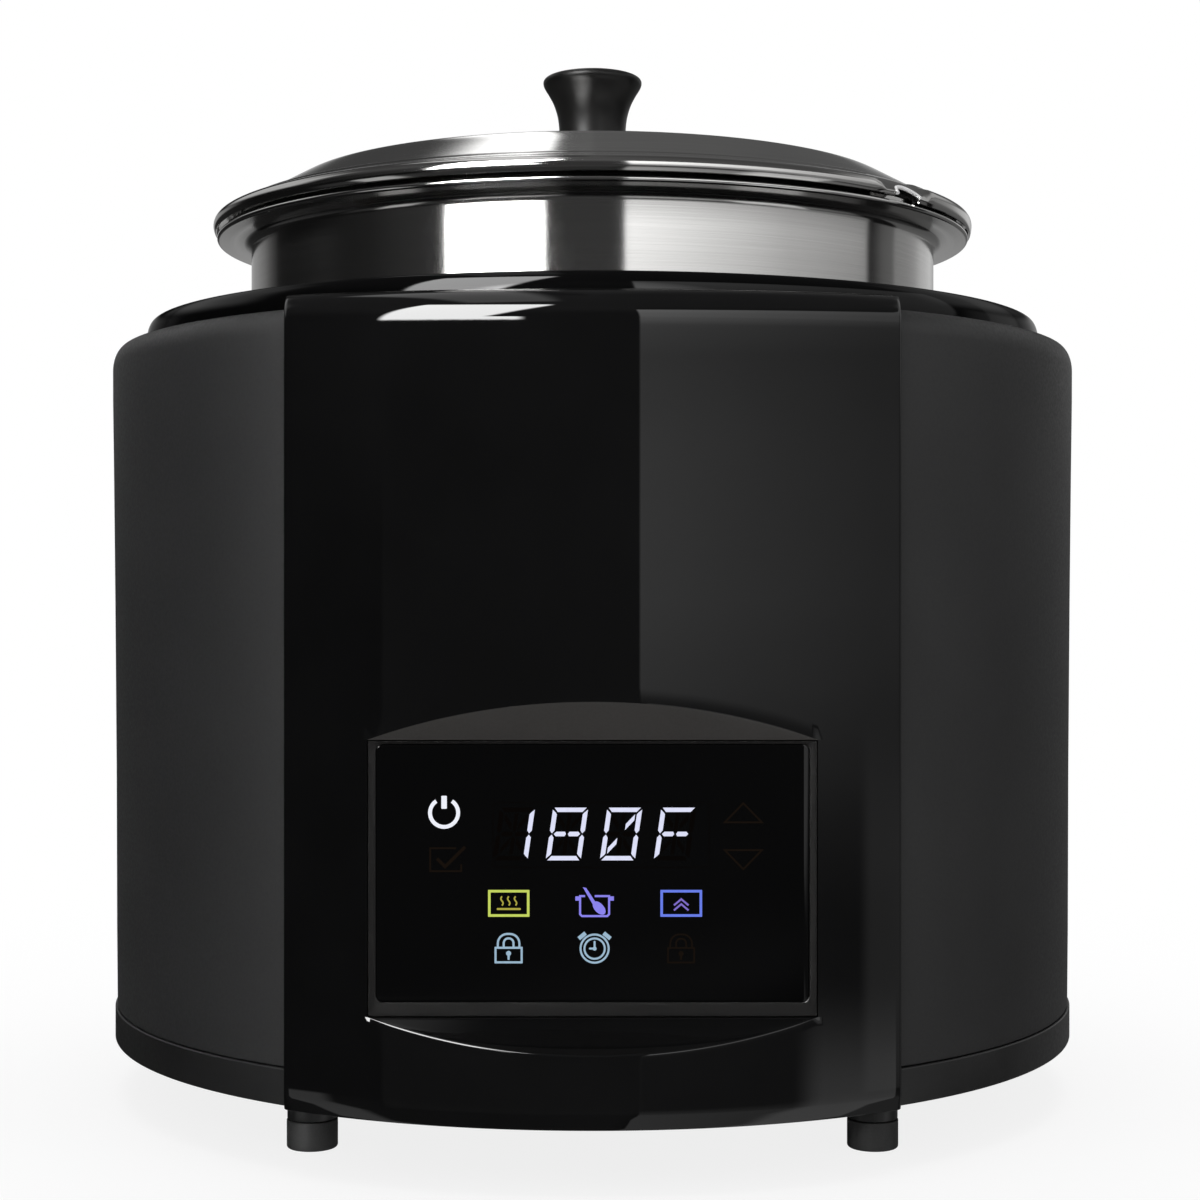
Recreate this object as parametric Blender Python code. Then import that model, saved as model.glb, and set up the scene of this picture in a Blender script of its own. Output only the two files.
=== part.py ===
"""Countertop induction kettle warmer, built as separate bench parts.

Frame: metres, +Z up, the front (display side) faces -Y. The origin is on the
table plane, on the axis of the round housing. Sizes below are in millimetres.
"""

from math import cos, pi, radians, sin, sqrt

import bmesh
import bpy
from mathutils import Matrix, Vector

MM = 0.001
GAP = 0.3  # working gap between neighbouring pieces

# ---- driving dimensions shared by several sections
PAN_LOW = 20.4  # underside of the base pan above the table
PAN_T = 1.5
ON_PAN = PAN_LOW + PAN_T + GAP  # where pieces standing on the pan begin
SKIRT_TOP = 32.4
DECK_R = 168.8
BOARD_T = 1.6  # thickness of both circuit boards

FOOT_BORE_R = 2.9
FOOT_AT = [(-93.0, -120.0), (93.0, -120.0), (93.0, 120.0), (-93.0, 120.0)]
SCREW_RING_R = 173.3
BASE_SCREW_AT = [
    (SCREW_RING_R * cos(radians(angle)), SCREW_RING_R * sin(radians(angle)))
    for angle in (30, 150, 210, 330)
]
BASE_SCREW_HOLE_R = 2.1

FAN_Y = 100.0
FAN_SIZE = 92.0
FAN_BORE_R = 43.0
FAN_LOW = ON_PAN
FAN_HIGH = FAN_LOW + 25.0

# rear openings and the pieces that fill them
INLET_Z = 48.0
INLET_HALF_W = 13.5
INLET_HALF_H = 10.0
INLET_CLEARANCE = 0.7
GRILLE_LOW = 72.0
GRILLE_HIGH = 132.0
GRILLE_HALF = 62.0

# the well, the plate on its floor and the pot on the plate
WELL_R = 133.0
WELL_T = 1.5
WELL_FLOOR = 100.0
PLATE_LOW = WELL_FLOOR + WELL_T + GAP
PLATE_TOP = PLATE_LOW + 1.2
POT_BOTTOM = PLATE_TOP + GAP


# =====================================================================
# Finishes
# =====================================================================
def finish(colour, roughness, metallic=0.0):
    return {"colour": colour, "roughness": roughness, "metallic": metallic}


SHELL_PAINT = finish(colour=(0.026, 0.026, 0.027), roughness=0.55)
SATIN_BLACK = finish(colour=(0.010, 0.010, 0.010), roughness=0.40)
GLOSS_BLACK = finish(colour=(0.004, 0.004, 0.004), roughness=0.06)
STEEL = finish(colour=(0.55, 0.54, 0.53), roughness=0.28, metallic=1.0)
BRIGHT_METAL = finish(colour=(0.66, 0.66, 0.66), roughness=0.22, metallic=1.0)
PHENOLIC = finish(colour=(0.008, 0.008, 0.008), roughness=0.18)
RUBBER = finish(colour=(0.009, 0.009, 0.009), roughness=0.70)
BOARD_GREEN = finish(colour=(0.020, 0.120, 0.050), roughness=0.50)
COPPER = finish(colour=(0.72, 0.32, 0.14), roughness=0.35, metallic=1.0)
FERRITE = finish(colour=(0.060, 0.060, 0.065), roughness=0.60)
FIBRE = finish(colour=(0.750, 0.730, 0.680), roughness=0.95)
MICA = finish(colour=(0.600, 0.560, 0.480), roughness=0.50)
BLACK_PLASTIC = finish(colour=(0.015, 0.015, 0.016), roughness=0.50)
ALUMINIUM = finish(colour=(0.60, 0.61, 0.62), roughness=0.35, metallic=1.0)
SILICONE = finish(colour=(0.080, 0.080, 0.085), roughness=0.70)
RIBBON_GREY = finish(colour=(0.50, 0.50, 0.52), roughness=0.50)
DIGIT_GREY = finish(colour=(0.60, 0.60, 0.62), roughness=0.50)
TERMINAL_GREY = finish(colour=(0.35, 0.35, 0.33), roughness=0.60)


def material(name, colour, roughness, metallic):
    new = bpy.data.materials.new(name)
    new.use_nodes = True
    inputs = new.node_tree.nodes["Principled BSDF"].inputs
    inputs["Base Color"].default_value = (*colour, 1.0)
    inputs["Roughness"].default_value = roughness
    inputs["Metallic"].default_value = metallic
    return new


# =====================================================================
# Objects, joints and booleans
# =====================================================================
def hang(child, parent):
    """Parents child without moving it."""
    child.parent = parent
    child.matrix_parent_inverse = parent.matrix_world.inverted()


def place(name, body, look=None, parent=None, sharp=35.0):
    """Turns a bmesh in millimetres into a named object in metres."""
    bmesh.ops.remove_doubles(body, verts=body.verts, dist=1e-4)
    bmesh.ops.recalc_face_normals(body, faces=body.faces)
    bmesh.ops.scale(body, verts=body.verts, vec=(MM, MM, MM))
    mesh = bpy.data.meshes.new(name)
    body.to_mesh(mesh)
    body.free()
    mesh.shade_smooth()
    mesh.set_sharp_from_angle(angle=radians(sharp))
    piece = bpy.data.objects.new(name, mesh)
    bpy.context.scene.collection.objects.link(piece)
    if look is not None:
        mesh.materials.append(material(name + "_finish", **look))
    if parent is not None:
        hang(piece, parent)
    return piece


def boolean(piece, name, body, operation):
    """Combines piece with a hidden helper object made from body."""
    helper = place(name, body)
    helper.hide_render = True
    helper.display_type = "WIRE"
    modifier = piece.modifiers.new(operation.lower(), "BOOLEAN")
    modifier.operation = operation
    modifier.solver = "EXACT"
    modifier.object = helper


def cut(piece, name, body):
    boolean(piece, name, body, "DIFFERENCE")


def join(piece, name, body):
    boolean(piece, name, body, "UNION")


def pivot(name, x, y, z, parent=None):
    """An empty on a joint's axis; the moving pieces hang from it."""
    empty = bpy.data.objects.new(name, None)
    empty.location = (x * MM, y * MM, z * MM)
    bpy.context.scene.collection.objects.link(empty)
    if parent is not None:
        hang(empty, parent)
    bpy.context.view_layer.update()  # children read the pivot's world matrix
    return empty


# =====================================================================
# Body shapes, in millimetres
# =====================================================================
def about(centre, half):
    """Span reaching half to each side of centre."""
    return centre - half, centre + half


def rectangle(inner, outer, low, high):
    """Plain (radius, z) profile."""
    return [(inner, low), (outer, low), (outer, high), (inner, high)]


def turned(profile, segments=48, x=0.0, y=0.0):
    """A body turned about the vertical through (x, y) from (radius, z)."""
    body = bmesh.new()
    verts = [body.verts.new((radius, 0.0, z)) for radius, z in profile]
    edges = [body.edges.new(pair) for pair in zip(verts, verts[1:])]
    ends_on_axis = profile[0][0] < 1e-6 and profile[-1][0] < 1e-6
    if not ends_on_axis:
        edges.append(body.edges.new((verts[-1], verts[0])))
    bmesh.ops.spin(
        body,
        geom=verts + edges,
        cent=(0, 0, 0),
        axis=(0, 0, 1),
        angle=2 * pi,
        steps=segments,
        use_merge=True,
    )
    bmesh.ops.remove_doubles(body, verts=body.verts, dist=1e-4)
    bmesh.ops.translate(body, verts=body.verts, vec=(x, y, 0))
    return body


def box(x, y, z, turn=0.0, into=None):
    """Box over three (low, high) spans, then turned about the Z axis."""
    body = bmesh.new() if into is None else into
    spans = (x, y, z)
    matrix = Matrix.Rotation(turn, 4, "Z")
    matrix = matrix @ Matrix.Translation([(low + high) / 2 for low, high in spans])
    matrix = matrix @ Matrix.Diagonal([high - low for low, high in spans] + [1.0])
    bmesh.ops.create_cube(body, size=1.0, matrix=matrix)
    return body


def rod(x, y, low, high, radius, segments=20, into=None):
    """Upright cylinder."""
    body = bmesh.new() if into is None else into
    bmesh.ops.create_cone(
        body,
        cap_ends=True,
        segments=segments,
        radius1=radius,
        radius2=radius,
        depth=high - low,
        matrix=Matrix.Translation((x, y, (low + high) / 2)),
    )
    return body


def lofted(sections):
    """Closed body through equal-length closed sections, capped at both ends."""
    body = bmesh.new()
    rows = [[body.verts.new(point) for point in section] for section in sections]
    count = len(rows[0])
    for row, after in zip(rows, rows[1:]):
        for i in range(count):
            j = (i + 1) % count
            body.faces.new((row[i], row[j], after[j], after[i]))
    body.faces.new(rows[0])
    body.faces.new(list(reversed(rows[-1])))
    return body


def bowed(profile, half, steps, side=-1.0):
    """(radius, z) profile run across x on the round wall; side -1 front, 1 rear."""
    stations = [half * (2.0 * i / steps - 1.0) for i in range(steps + 1)]
    return lofted(
        [
            [(x, side * sqrt(radius * radius - x * x), z) for radius, z in profile]
            for x in stations
        ]
    )


def extruded(outline, half):
    """(y, z) outline run across x from -half to half."""
    return lofted([[(x, y, z) for y, z in outline] for x in (-half, half)])


def spiral(turns, steps, inner, outer, z, half_w, half_h):
    """Flat spiral of rectangular wire, with steps sections per turn."""
    corners = rectangle(-half_w, half_w, -half_h, half_h)
    rows = []
    for i in range(turns * steps + 1):
        part = i / (turns * steps)
        angle = 2 * pi * turns * part
        radius = inner + (outer - inner) * part
        rows.append(
            [
                ((radius + out) * cos(angle), (radius + out) * sin(angle), z + up)
                for out, up in corners
            ]
        )
    return lofted(rows)


def helix(turns, steps, radius, low, high, wire_r, sides):
    """Coil spring about the Z axis, with steps sections per turn."""
    rows = []
    rise = (high - low) / (2 * pi * turns)
    count = turns * steps
    for i in range(count + 1):
        angle = 2 * pi * turns * i / count
        c, s = cos(angle), sin(angle)
        along = Vector((-radius * s, radius * c, rise)).normalized()
        out = Vector((c, s, 0))
        up = along.cross(out)
        middle = Vector((radius * c, radius * s, low + (high - low) * i / count))
        rows.append(
            [
                tuple(
                    middle
                    + out * wire_r * cos(2 * pi * j / sides)
                    + up * wire_r * sin(2 * pi * j / sides)
                )
                for j in range(sides)
            ]
        )
    return lofted(rows)


# =====================================================================
# Base pan, skirt, shell and deck
# =====================================================================
PAN_R = 176.4
HOLE_LOW = PAN_LOW - 3  # hole cutters start clear below the pan
VENT_COUNT = 7
VENT_PITCH = 11.0
VENT_HALF = 2.4
VENT_END = 5.0  # from slot end to the fan bore

SKIRT_R = 180.1
SKIRT_T = 1.5
SKIRT_LEDGE_R = 170.0
SKIRT_LEDGE_T = 1.2
FRONT_GAP_HALF = 98.1  # half width of the front opening in shell and skirt

SHELL_LOW = SKIRT_TOP + GAP
SHELL_R_LOW = 179.3
SHELL_R_MID = 179.7
SHELL_MID_Z = 120.0
SHELL_R_TOP = 181.0
SHELL_T = 1.3
SHOULDER_Z = 265.8
SHOULDER_OUT = 4.8  # half axes of the rounded shoulder, outwards and up
SHOULDER_UP = 8.5
SHOULDER_TOP = SHOULDER_Z + SHOULDER_UP
SHELL_MOUTH_R = DECK_R + 0.6

DECK_Z = 284.0
DECK_LOW = 271.6
DECK_T = 2.0
DECK_HOLE_R = 132.5
DECK_UNDER = DECK_Z - DECK_T - 0.6
DECK_LIP_LOW = 276.5
DECK_WALL_T = 1.8


def build_pan():
    pan = place(
        "base_pan", turned(rectangle(0, PAN_R, PAN_LOW, PAN_LOW + PAN_T)), SATIN_BLACK
    )
    holes = bmesh.new()
    for at, radius in ((FOOT_AT, FOOT_BORE_R), (BASE_SCREW_AT, BASE_SCREW_HOLE_R)):
        for x, y in at:
            rod(x, y, HOLE_LOW, PAN_LOW + 5, radius, 12, into=holes)
    # vent slots under the fan, each as long as the bore allows
    for k in range(VENT_COUNT):
        y = FAN_Y + (k - VENT_COUNT // 2) * VENT_PITCH
        half = sqrt(FAN_BORE_R**2 - (y - FAN_Y) ** 2) - VENT_END
        box(about(0, half), about(y, VENT_HALF), (HOLE_LOW, PAN_LOW + 5), into=holes)
    cut(pan, "pan_holes", holes)


def build_skirt():
    inner = SKIRT_R - SKIRT_T
    profile = [
        (SKIRT_R, PAN_LOW),
        (SKIRT_R, SKIRT_TOP),
        (inner, SKIRT_TOP),
        (inner, ON_PAN + SKIRT_LEDGE_T),
        (SKIRT_LEDGE_R, ON_PAN + SKIRT_LEDGE_T),
        (SKIRT_LEDGE_R, ON_PAN),
        (inner, ON_PAN),
        (inner, PAN_LOW),
    ]
    skirt = place("skirt_ring", turned(profile), SATIN_BLACK)
    openings = box(
        about(0, FRONT_GAP_HALF), (-200, -80), (PAN_LOW - 10, SKIRT_TOP + 10)
    )
    for x, y in BASE_SCREW_AT:
        rod(x, y, HOLE_LOW, PAN_LOW + 8, BASE_SCREW_HOLE_R, 12, into=openings)
    cut(skirt, "skirt_openings", openings)


def build_shell():
    # an ellipse quarter from the wall, then nearly flat to the deck
    shoulder = [
        (
            SHELL_R_TOP - SHOULDER_OUT * (1 - cos(radians(angle))),
            SHOULDER_Z + SHOULDER_UP * sin(radians(angle)),
        )
        for angle in (0, 30, 60, 90)
    ]
    profile = [
        (SHELL_R_LOW, SHELL_LOW),
        (SHELL_R_MID, SHELL_MID_Z),
        (SHELL_R_TOP, 262.0),
        *shoulder,
        (SHELL_MOUTH_R, SHOULDER_TOP + 0.2),
        (SHELL_MOUTH_R, SHOULDER_TOP - 1.1),
        (SHELL_R_TOP - SHOULDER_OUT, SHOULDER_TOP - 1.3),
        (SHELL_R_TOP - SHELL_T - 1.0, SHOULDER_Z + 5.1),
        (SHELL_R_TOP - SHELL_T, SHOULDER_Z - 0.5),
        (SHELL_R_MID - SHELL_T, SHELL_MID_Z),
        (SHELL_R_LOW - SHELL_T, SHELL_LOW),
    ]
    shell = place("side_shell", turned(profile), SHELL_PAINT)
    openings = box(about(0, FRONT_GAP_HALF), (-200, -80), (0, 320))
    box(
        about(0, INLET_HALF_W + INLET_CLEARANCE),
        (160, 200),
        about(INLET_Z, INLET_HALF_H + INLET_CLEARANCE),
        into=openings,
    )
    # the grille overlaps its opening by 6 at the ends, 4 above and below
    box(
        about(0, GRILLE_HALF - 6),
        (150, 200),
        (GRILLE_LOW + 4, GRILLE_HIGH - 4),
        into=openings,
    )
    cut(shell, "shell_openings", openings)


def build_deck():
    profile = [
        (DECK_R, DECK_LOW),
        (DECK_R, DECK_Z - 4.6),
        (DECK_R - 0.8, DECK_Z - 1.6),
        (DECK_R - 2.6, DECK_Z),
        (136.0, DECK_Z),
        (DECK_HOLE_R, DECK_Z - 2.8),
        (DECK_HOLE_R, DECK_LIP_LOW),
        (DECK_HOLE_R + DECK_WALL_T, DECK_LIP_LOW),
        (DECK_HOLE_R + DECK_WALL_T, DECK_UNDER),
        (DECK_R - DECK_WALL_T, DECK_UNDER),
        (DECK_R - DECK_WALL_T, DECK_LOW),
    ]
    place("top_deck", turned(profile), GLOSS_BLACK)
    gasket = rectangle(inner=150.0, outer=166.2, low=279.4, high=280.6)
    place("deck_gasket", turned(gasket, 36), SILICONE)


# =====================================================================
# Front panel with the display pocket
# =====================================================================
PANEL_R = 184.4
PANEL_T = 2.5
PANEL_HALF = 97.7
PANEL_BOTTOM = 20.0
PANEL_RETURN_T = 2.4  # thickness of the panel's end walls
PANEL_STEPS = 16
POCKET_Y = -170.7  # where the sloped part of the pocket ends
POCKET_HALF = 69.4
POCKET_LOW = 52.4
POCKET_HIGH = 138.1
POCKET_DEPTH = PANEL_R + POCKET_Y
CEILING_SLOPE = 12.4 / POCKET_DEPTH  # rise per mm towards the front
FLOOR_SLOPE = 9.4 / POCKET_DEPTH  # drop per mm towards the front
POCKET_WALL = 2.2
POCKET_BLOCK_HALF = 68.0
POCKET_FRONT_Y = -192.0  # the hollow is cut from here, in front of the panel

BEZEL_CLEARANCE = 0.4
GLASS_HALF = 66.9
GLASS_LOW = 57.1
GLASS_HIGH = 136.7
# y of the display layers, from the front backwards
GLASS_FRONT = POCKET_Y + 0.1
GLASS_BACK = GLASS_FRONT + 2.0
DIGITS_FRONT = GLASS_BACK + GAP
DIGITS_BACK = DIGITS_FRONT + 5.8
DISPLAY_BOARD_FRONT = DIGITS_BACK + GAP

# (radius, z) up the panel's face and over its rolled top
PANEL_OUTSIDE = [
    (177.0, PANEL_BOTTOM),
    (PANEL_R - 2.2, PANEL_BOTTOM),
    (PANEL_R, PANEL_BOTTOM + 4.7),
    (PANEL_R, 263.0),
    (PANEL_R - 0.8, 268.5),
    (PANEL_R - 3.2, 272.8),
    (PANEL_R - 6.9, 275.8),
    (PANEL_R - 10.9, 277.3),
    (170.0, 278.0),
    (170.0, 268.0),
    (177.0, 260.0),
]
# (radius, z) of the space behind the panel's skin
PANEL_INSIDE = [
    (150.0, 10.0),
    (PANEL_R - PANEL_T, 10.0),
    (PANEL_R - PANEL_T, 262.0),
    (PANEL_R - 3.3, 267.2),
    (PANEL_R - 5.4, 271.0),
    (PANEL_R - 8.4, 273.4),
    (PANEL_R - 12.0, 274.8),
    (165.0, 275.7),
    (150.0, 275.9),
]
# (y, z) round the ribbon, down behind the display and back to the power board
RIBBON_OUTLINE = [
    (-159.9, 70.0), (-159.3, 70.0), (-159.3, 40.0), (-87.7, 40.0),
    (-87.7, 36.0), (-88.3, 36.0), (-88.3, 39.4), (-159.9, 39.4),
]


def pocket_outline(front_y, back_y, wall):
    """Sloped ceiling and floor with a straight throat, grown outwards by wall."""
    low = POCKET_LOW - wall
    high = POCKET_HIGH + wall
    depth = POCKET_Y - front_y
    return [
        (back_y, high),
        (POCKET_Y, high),
        (front_y, high + depth * CEILING_SLOPE),
        (front_y, low - depth * FLOOR_SLOPE),
        (POCKET_Y, low),
        (back_y, low),
    ]


def pocket_section(x):
    """Section of the pocket block at x, its front just inside the panel's face."""
    front_y = -sqrt((PANEL_R - 0.5) ** 2 - x * x)
    outline = pocket_outline(front_y, POCKET_Y + 4.7, POCKET_WALL)
    return [(x, y, z) for y, z in outline]


def build_panel():
    panel = place(
        "front_panel", bowed(PANEL_OUTSIDE, PANEL_HALF, PANEL_STEPS), GLOSS_BLACK
    )
    hollow = bowed(PANEL_INSIDE, PANEL_HALF - PANEL_RETURN_T, PANEL_STEPS)
    cut(panel, "panel_hollow", hollow)
    stations = [POCKET_BLOCK_HALF * (i / 6.0 - 1.0) for i in range(13)]
    join(panel, "pocket_block", lofted([pocket_section(x) for x in stations]))
    outline = pocket_outline(POCKET_FRONT_Y, -150.0, 0.0)
    cut(panel, "pocket_hollow", extruded(outline, POCKET_HALF))


def build_display():
    bezel = place(
        "display_bezel",
        box(
            about(0, POCKET_HALF - BEZEL_CLEARANCE),
            (POCKET_Y - 0.2, POCKET_Y + 4.4),
            (POCKET_LOW + BEZEL_CLEARANCE, POCKET_HIGH - BEZEL_CLEARANCE),
        ),
        SATIN_BLACK,
    )
    window = box(
        about(0, GLASS_HALF + GAP),
        (POCKET_Y - 5, POCKET_Y + 10),
        (GLASS_LOW - GAP, GLASS_HIGH + GAP),
    )
    cut(bezel, "bezel_window", window)
    glass = box(about(0, GLASS_HALF), (GLASS_FRONT, GLASS_BACK), (GLASS_LOW, GLASS_HIGH))
    place("display_glass", glass, GLOSS_BLACK)
    digits = box(x=about(0, 34), y=(DIGITS_FRONT, DIGITS_BACK), z=(96, 121))
    place("digit_module", digits, DIGIT_GREY)
    board_y = (DISPLAY_BOARD_FRONT, DISPLAY_BOARD_FRONT + BOARD_T)
    place("display_board", box(x=about(0, 63), y=board_y, z=(54, 136)), BOARD_GREEN)
    place("display_ribbon", extruded(RIBBON_OUTLINE, 12.0), RIBBON_GREY)


# =====================================================================
# Well, insulation and rest plate
# =====================================================================
WELL_BORE_R = 11.0  # hole in the floor for the sensor
WELL_FLANGE_R = 148.0
WELL_FLANGE_LOW = 274.3


def build_well():
    profile = [
        (WELL_BORE_R, WELL_FLOOR),
        (WELL_R - 2.0, WELL_FLOOR),
        (WELL_R + WELL_T, WELL_FLOOR + 3.5),
        (WELL_R + WELL_T, WELL_FLANGE_LOW),
        (WELL_FLANGE_R, WELL_FLANGE_LOW),
        (WELL_FLANGE_R, WELL_FLANGE_LOW + WELL_T),
        (WELL_R, WELL_FLANGE_LOW + WELL_T),
        (WELL_R, WELL_FLOOR + 4.0),
        (WELL_R - 2.5, WELL_FLOOR + WELL_T),
        (WELL_BORE_R, WELL_FLOOR + WELL_T),
    ]
    place("well_liner", turned(profile, 36), BLACK_PLASTIC)
    sleeve = rectangle(inner=136.0, outer=147.5, low=104.0, high=273.6)
    place("insulation_sleeve", turned(sleeve, 36), FIBRE)
    plate = rectangle(inner=12.0, outer=118.0, low=PLATE_LOW, high=PLATE_TOP)
    place("pot_rest_plate", turned(plate, 36), MICA)


# =====================================================================
# Pot and lid
# =====================================================================
POT_WALL_R = 130.15
POT_T = 1.0
POT_FLOOR = POT_BOTTOM + 1.3  # upper face of the pot's floor
RIM_R = 144.1
RIM_Z = 317.6  # centre of the rolled bead
BEAD_R = 1.7
RIM_TOP = RIM_Z + BEAD_R

LID_UNDER = RIM_TOP + GAP
LID_TOP = 348.0
NOTCH_ANGLE = -41.0  # about Z from +X, so front right
NOTCH_R = 146.0  # distance of the notch centre from the axis
NOTCH_W = 17.0
NOTCH_H = 7.0

KNOB_BORE_R = 2.9
KNOB_BORE_TOP = 370.0
WASHER_TOP = LID_TOP + 1.0
KNOB_LOW = WASHER_TOP + GAP
KNOB_SHANK_R = 2.5

# (radius, z) up the outside, over the bead and down the inside
POT_PROFILE = [
    (0, POT_BOTTOM),
    (120.0, POT_BOTTOM),
    (127.2, POT_BOTTOM + 2.6),
    (POT_WALL_R, POT_BOTTOM + 9.0),
    (POT_WALL_R, 312.2),
    (131.9, 315.2),
    (135.4, 316.0),
    *[
        (RIM_R - BEAD_R + BEAD_R * cos(radians(angle)), RIM_Z + BEAD_R * sin(radians(angle)))
        for angle in (-60, 0, 60, 120)
    ],
    (134.6, 317.2),
    (131.0, 316.3),
    (POT_WALL_R - POT_T, 312.6),
    (POT_WALL_R - POT_T, POT_BOTTOM + 9.6),
    (126.4, POT_BOTTOM + 3.8),
    (119.6, POT_FLOOR),
    (0, POT_FLOOR),
]
# (radius, z) outwards over the top, then back along the underside
LID_PROFILE = [
    (KNOB_BORE_R, LID_TOP), (50.0, LID_TOP - 1.7),
    (95.0, LID_TOP - 6.4), (112.9, LID_TOP - 9.0),
    (116.0, LID_TOP - 10.4), (134.0, 328.2),
    (137.6, 326.8), (141.6, 324.2), (144.0, 321.4),
    (144.5, LID_UNDER), (143.5, LID_UNDER),
    (142.9, 321.0), (140.8, 323.4), (135.6, 326.3),
    (115.4, LID_TOP - 11.5), (112.4, LID_TOP - 10.1),
    (94.8, LID_TOP - 7.5), (50.0, LID_TOP - 2.8),
    (KNOB_BORE_R, LID_TOP - 1.1),
]
# (radius, z) up the waisted outside to the wide top, then the blind bore
KNOB_PROFILE = [
    (KNOB_BORE_R, KNOB_LOW), (13.2, KNOB_LOW), (13.1, KNOB_LOW + 4.0),
    (12.4, 359.5), (12.8, 368.0), (14.6, 374.5), (17.4, 378.3),
    (18.9, 380.4), (18.8, 381.9), (16.8, 383.2), (9.0, 384.0), (0, 384.1),
    (0, KNOB_BORE_TOP), (KNOB_BORE_R, KNOB_BORE_TOP),
]
KNOB_SCREW_PROFILE = [
    (0, LID_TOP - 4.2), (4.4, LID_TOP - 4.2), (4.8, LID_TOP - 1.5),
    (KNOB_SHANK_R, LID_TOP - 1.5), (KNOB_SHANK_R, KNOB_BORE_TOP - 1.0),
    (0, KNOB_BORE_TOP - 1.0),
]


def lid_notch():
    """Elliptical rod lying along the radius, centred on the lid's lower edge."""
    notch = bmesh.new()
    bmesh.ops.create_cone(
        notch,
        cap_ends=True,
        segments=20,
        radius1=NOTCH_W / 2,
        radius2=NOTCH_W / 2,
        depth=24.0,
    )
    along_x = Matrix.Rotation(pi / 2, 3, "Y")
    bmesh.ops.rotate(notch, verts=notch.verts, cent=(0, 0, 0), matrix=along_x)
    bmesh.ops.scale(notch, verts=notch.verts, vec=(1, 1, NOTCH_H / (NOTCH_W / 2)))
    bmesh.ops.translate(notch, verts=notch.verts, vec=(NOTCH_R, 0, LID_UNDER))
    swing = Matrix.Rotation(radians(NOTCH_ANGLE), 3, "Z")
    bmesh.ops.rotate(notch, verts=notch.verts, cent=(0, 0, 0), matrix=swing)
    return notch


def build_lid(lid_axis):
    lid = place(
        "lid", turned(LID_PROFILE, 40), BRIGHT_METAL, parent=lid_axis, sharp=60
    )
    cut(lid, "ladle_notch", lid_notch())
    washer = rectangle(KNOB_BORE_R, 11.0, LID_TOP + GAP, WASHER_TOP)
    place("knob_washer", turned(washer, 20), STEEL, parent=lid_axis)
    place("lid_knob", turned(KNOB_PROFILE, 20), PHENOLIC, parent=lid_axis)
    place("knob_screw", turned(KNOB_SCREW_PROFILE, 16), STEEL, parent=lid_axis)


def build_pot_and_lid():
    pot_axis = pivot("pot_slide", 0, 0, POT_BOTTOM)
    place("pot", turned(POT_PROFILE, 40), STEEL, parent=pot_axis, sharp=60)
    build_lid(pivot("lid_slide", 0, 0, RIM_TOP, parent=pot_axis))


# =====================================================================
# Induction coil, ferrite and sensor
# =====================================================================
FORMER_LOW = 93.5
UNDER_FORMER = FORMER_LOW - GAP  # top of the pieces that carry the former
SENSOR_TOP = PLATE_TOP

# (radius, z) of the flanged tube round the sensor
GUIDE_PROFILE = [
    (3.5, 84.0), (10.4, 84.0), (10.4, 90.5), (26.0, 90.5),
    (26.0, UNDER_FORMER), (10.4, UNDER_FORMER),
    (10.4, 101.2), (7.2, 101.2), (7.2, 86.0), (3.5, 86.0),
]
# (radius, z) of the stem and its wider head
PLUNGER_PROFILE = [
    (0, 81.0), (3.0, 81.0), (3.0, 100.0), (6.6, 100.0),
    (6.6, SENSOR_TOP), (0, SENSOR_TOP),
]


def build_coil():
    former = rectangle(inner=22.0, outer=108.0, low=FORMER_LOW, high=96.4)
    place("coil_former", turned(former, 36), BLACK_PLASTIC)
    winding = spiral(
        turns=8, steps=12, inner=30.0, outer=101.0, z=98.1, half_w=2.7, half_h=1.3
    )
    place("induction_coil", winding, COPPER)
    for k in range(4):
        bar = box((36.0, 97.0), about(0, 7.0), (88.0, UNDER_FORMER), turn=radians(90 * k))
        place(f"ferrite_bar_{k + 1}", bar, FERRITE)
    ring = rectangle(inner=99.0, outer=119.0, low=86.0, high=UNDER_FORMER)
    support = place("coil_support", turned(ring, 36), BLACK_PLASTIC)
    legs = bmesh.new()
    for x in (-84.0, 84.0):
        for y in (-82.0, 82.0):
            rod(x, y, ON_PAN, 91.5, radius=5.0, segments=12, into=legs)
    join(support, "support_legs", legs)


def build_sensor():
    place("sensor_guide", turned(GUIDE_PROFILE, 16), BLACK_PLASTIC)
    sensor_axis = pivot("sensor_slide", 0, 0, SENSOR_TOP)
    place("sensor_plunger", turned(PLUNGER_PROFILE, 16), ALUMINIUM, parent=sensor_axis)
    spring = helix(turns=5, steps=9, radius=5.1, low=87.0, high=99.0, wire_r=0.55, sides=4)
    place("sensor_spring", spring, STEEL)


# =====================================================================
# Electronics
# =====================================================================
BOARD_Z = 34.0
BOARD_HALF = 75
BOARD_FRONT = -95
BOARD_REAR = 35
STANDOFF_INSET = 7
STANDOFF_X = BOARD_HALF - STANDOFF_INSET
STANDOFF_FRONT = BOARD_FRONT + STANDOFF_INSET
STANDOFF_REAR = BOARD_REAR - STANDOFF_INSET
STANDOFF_AT = [
    (-STANDOFF_X, STANDOFF_FRONT),
    (STANDOFF_X, STANDOFF_FRONT),
    (STANDOFF_X, STANDOFF_REAR),
    (-STANDOFF_X, STANDOFF_REAR),
]
ON_BOARD = BOARD_Z + BOARD_T + GAP
MODULE_TOP = ON_BOARD + 5
SINK_Z = MODULE_TOP + GAP

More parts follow.
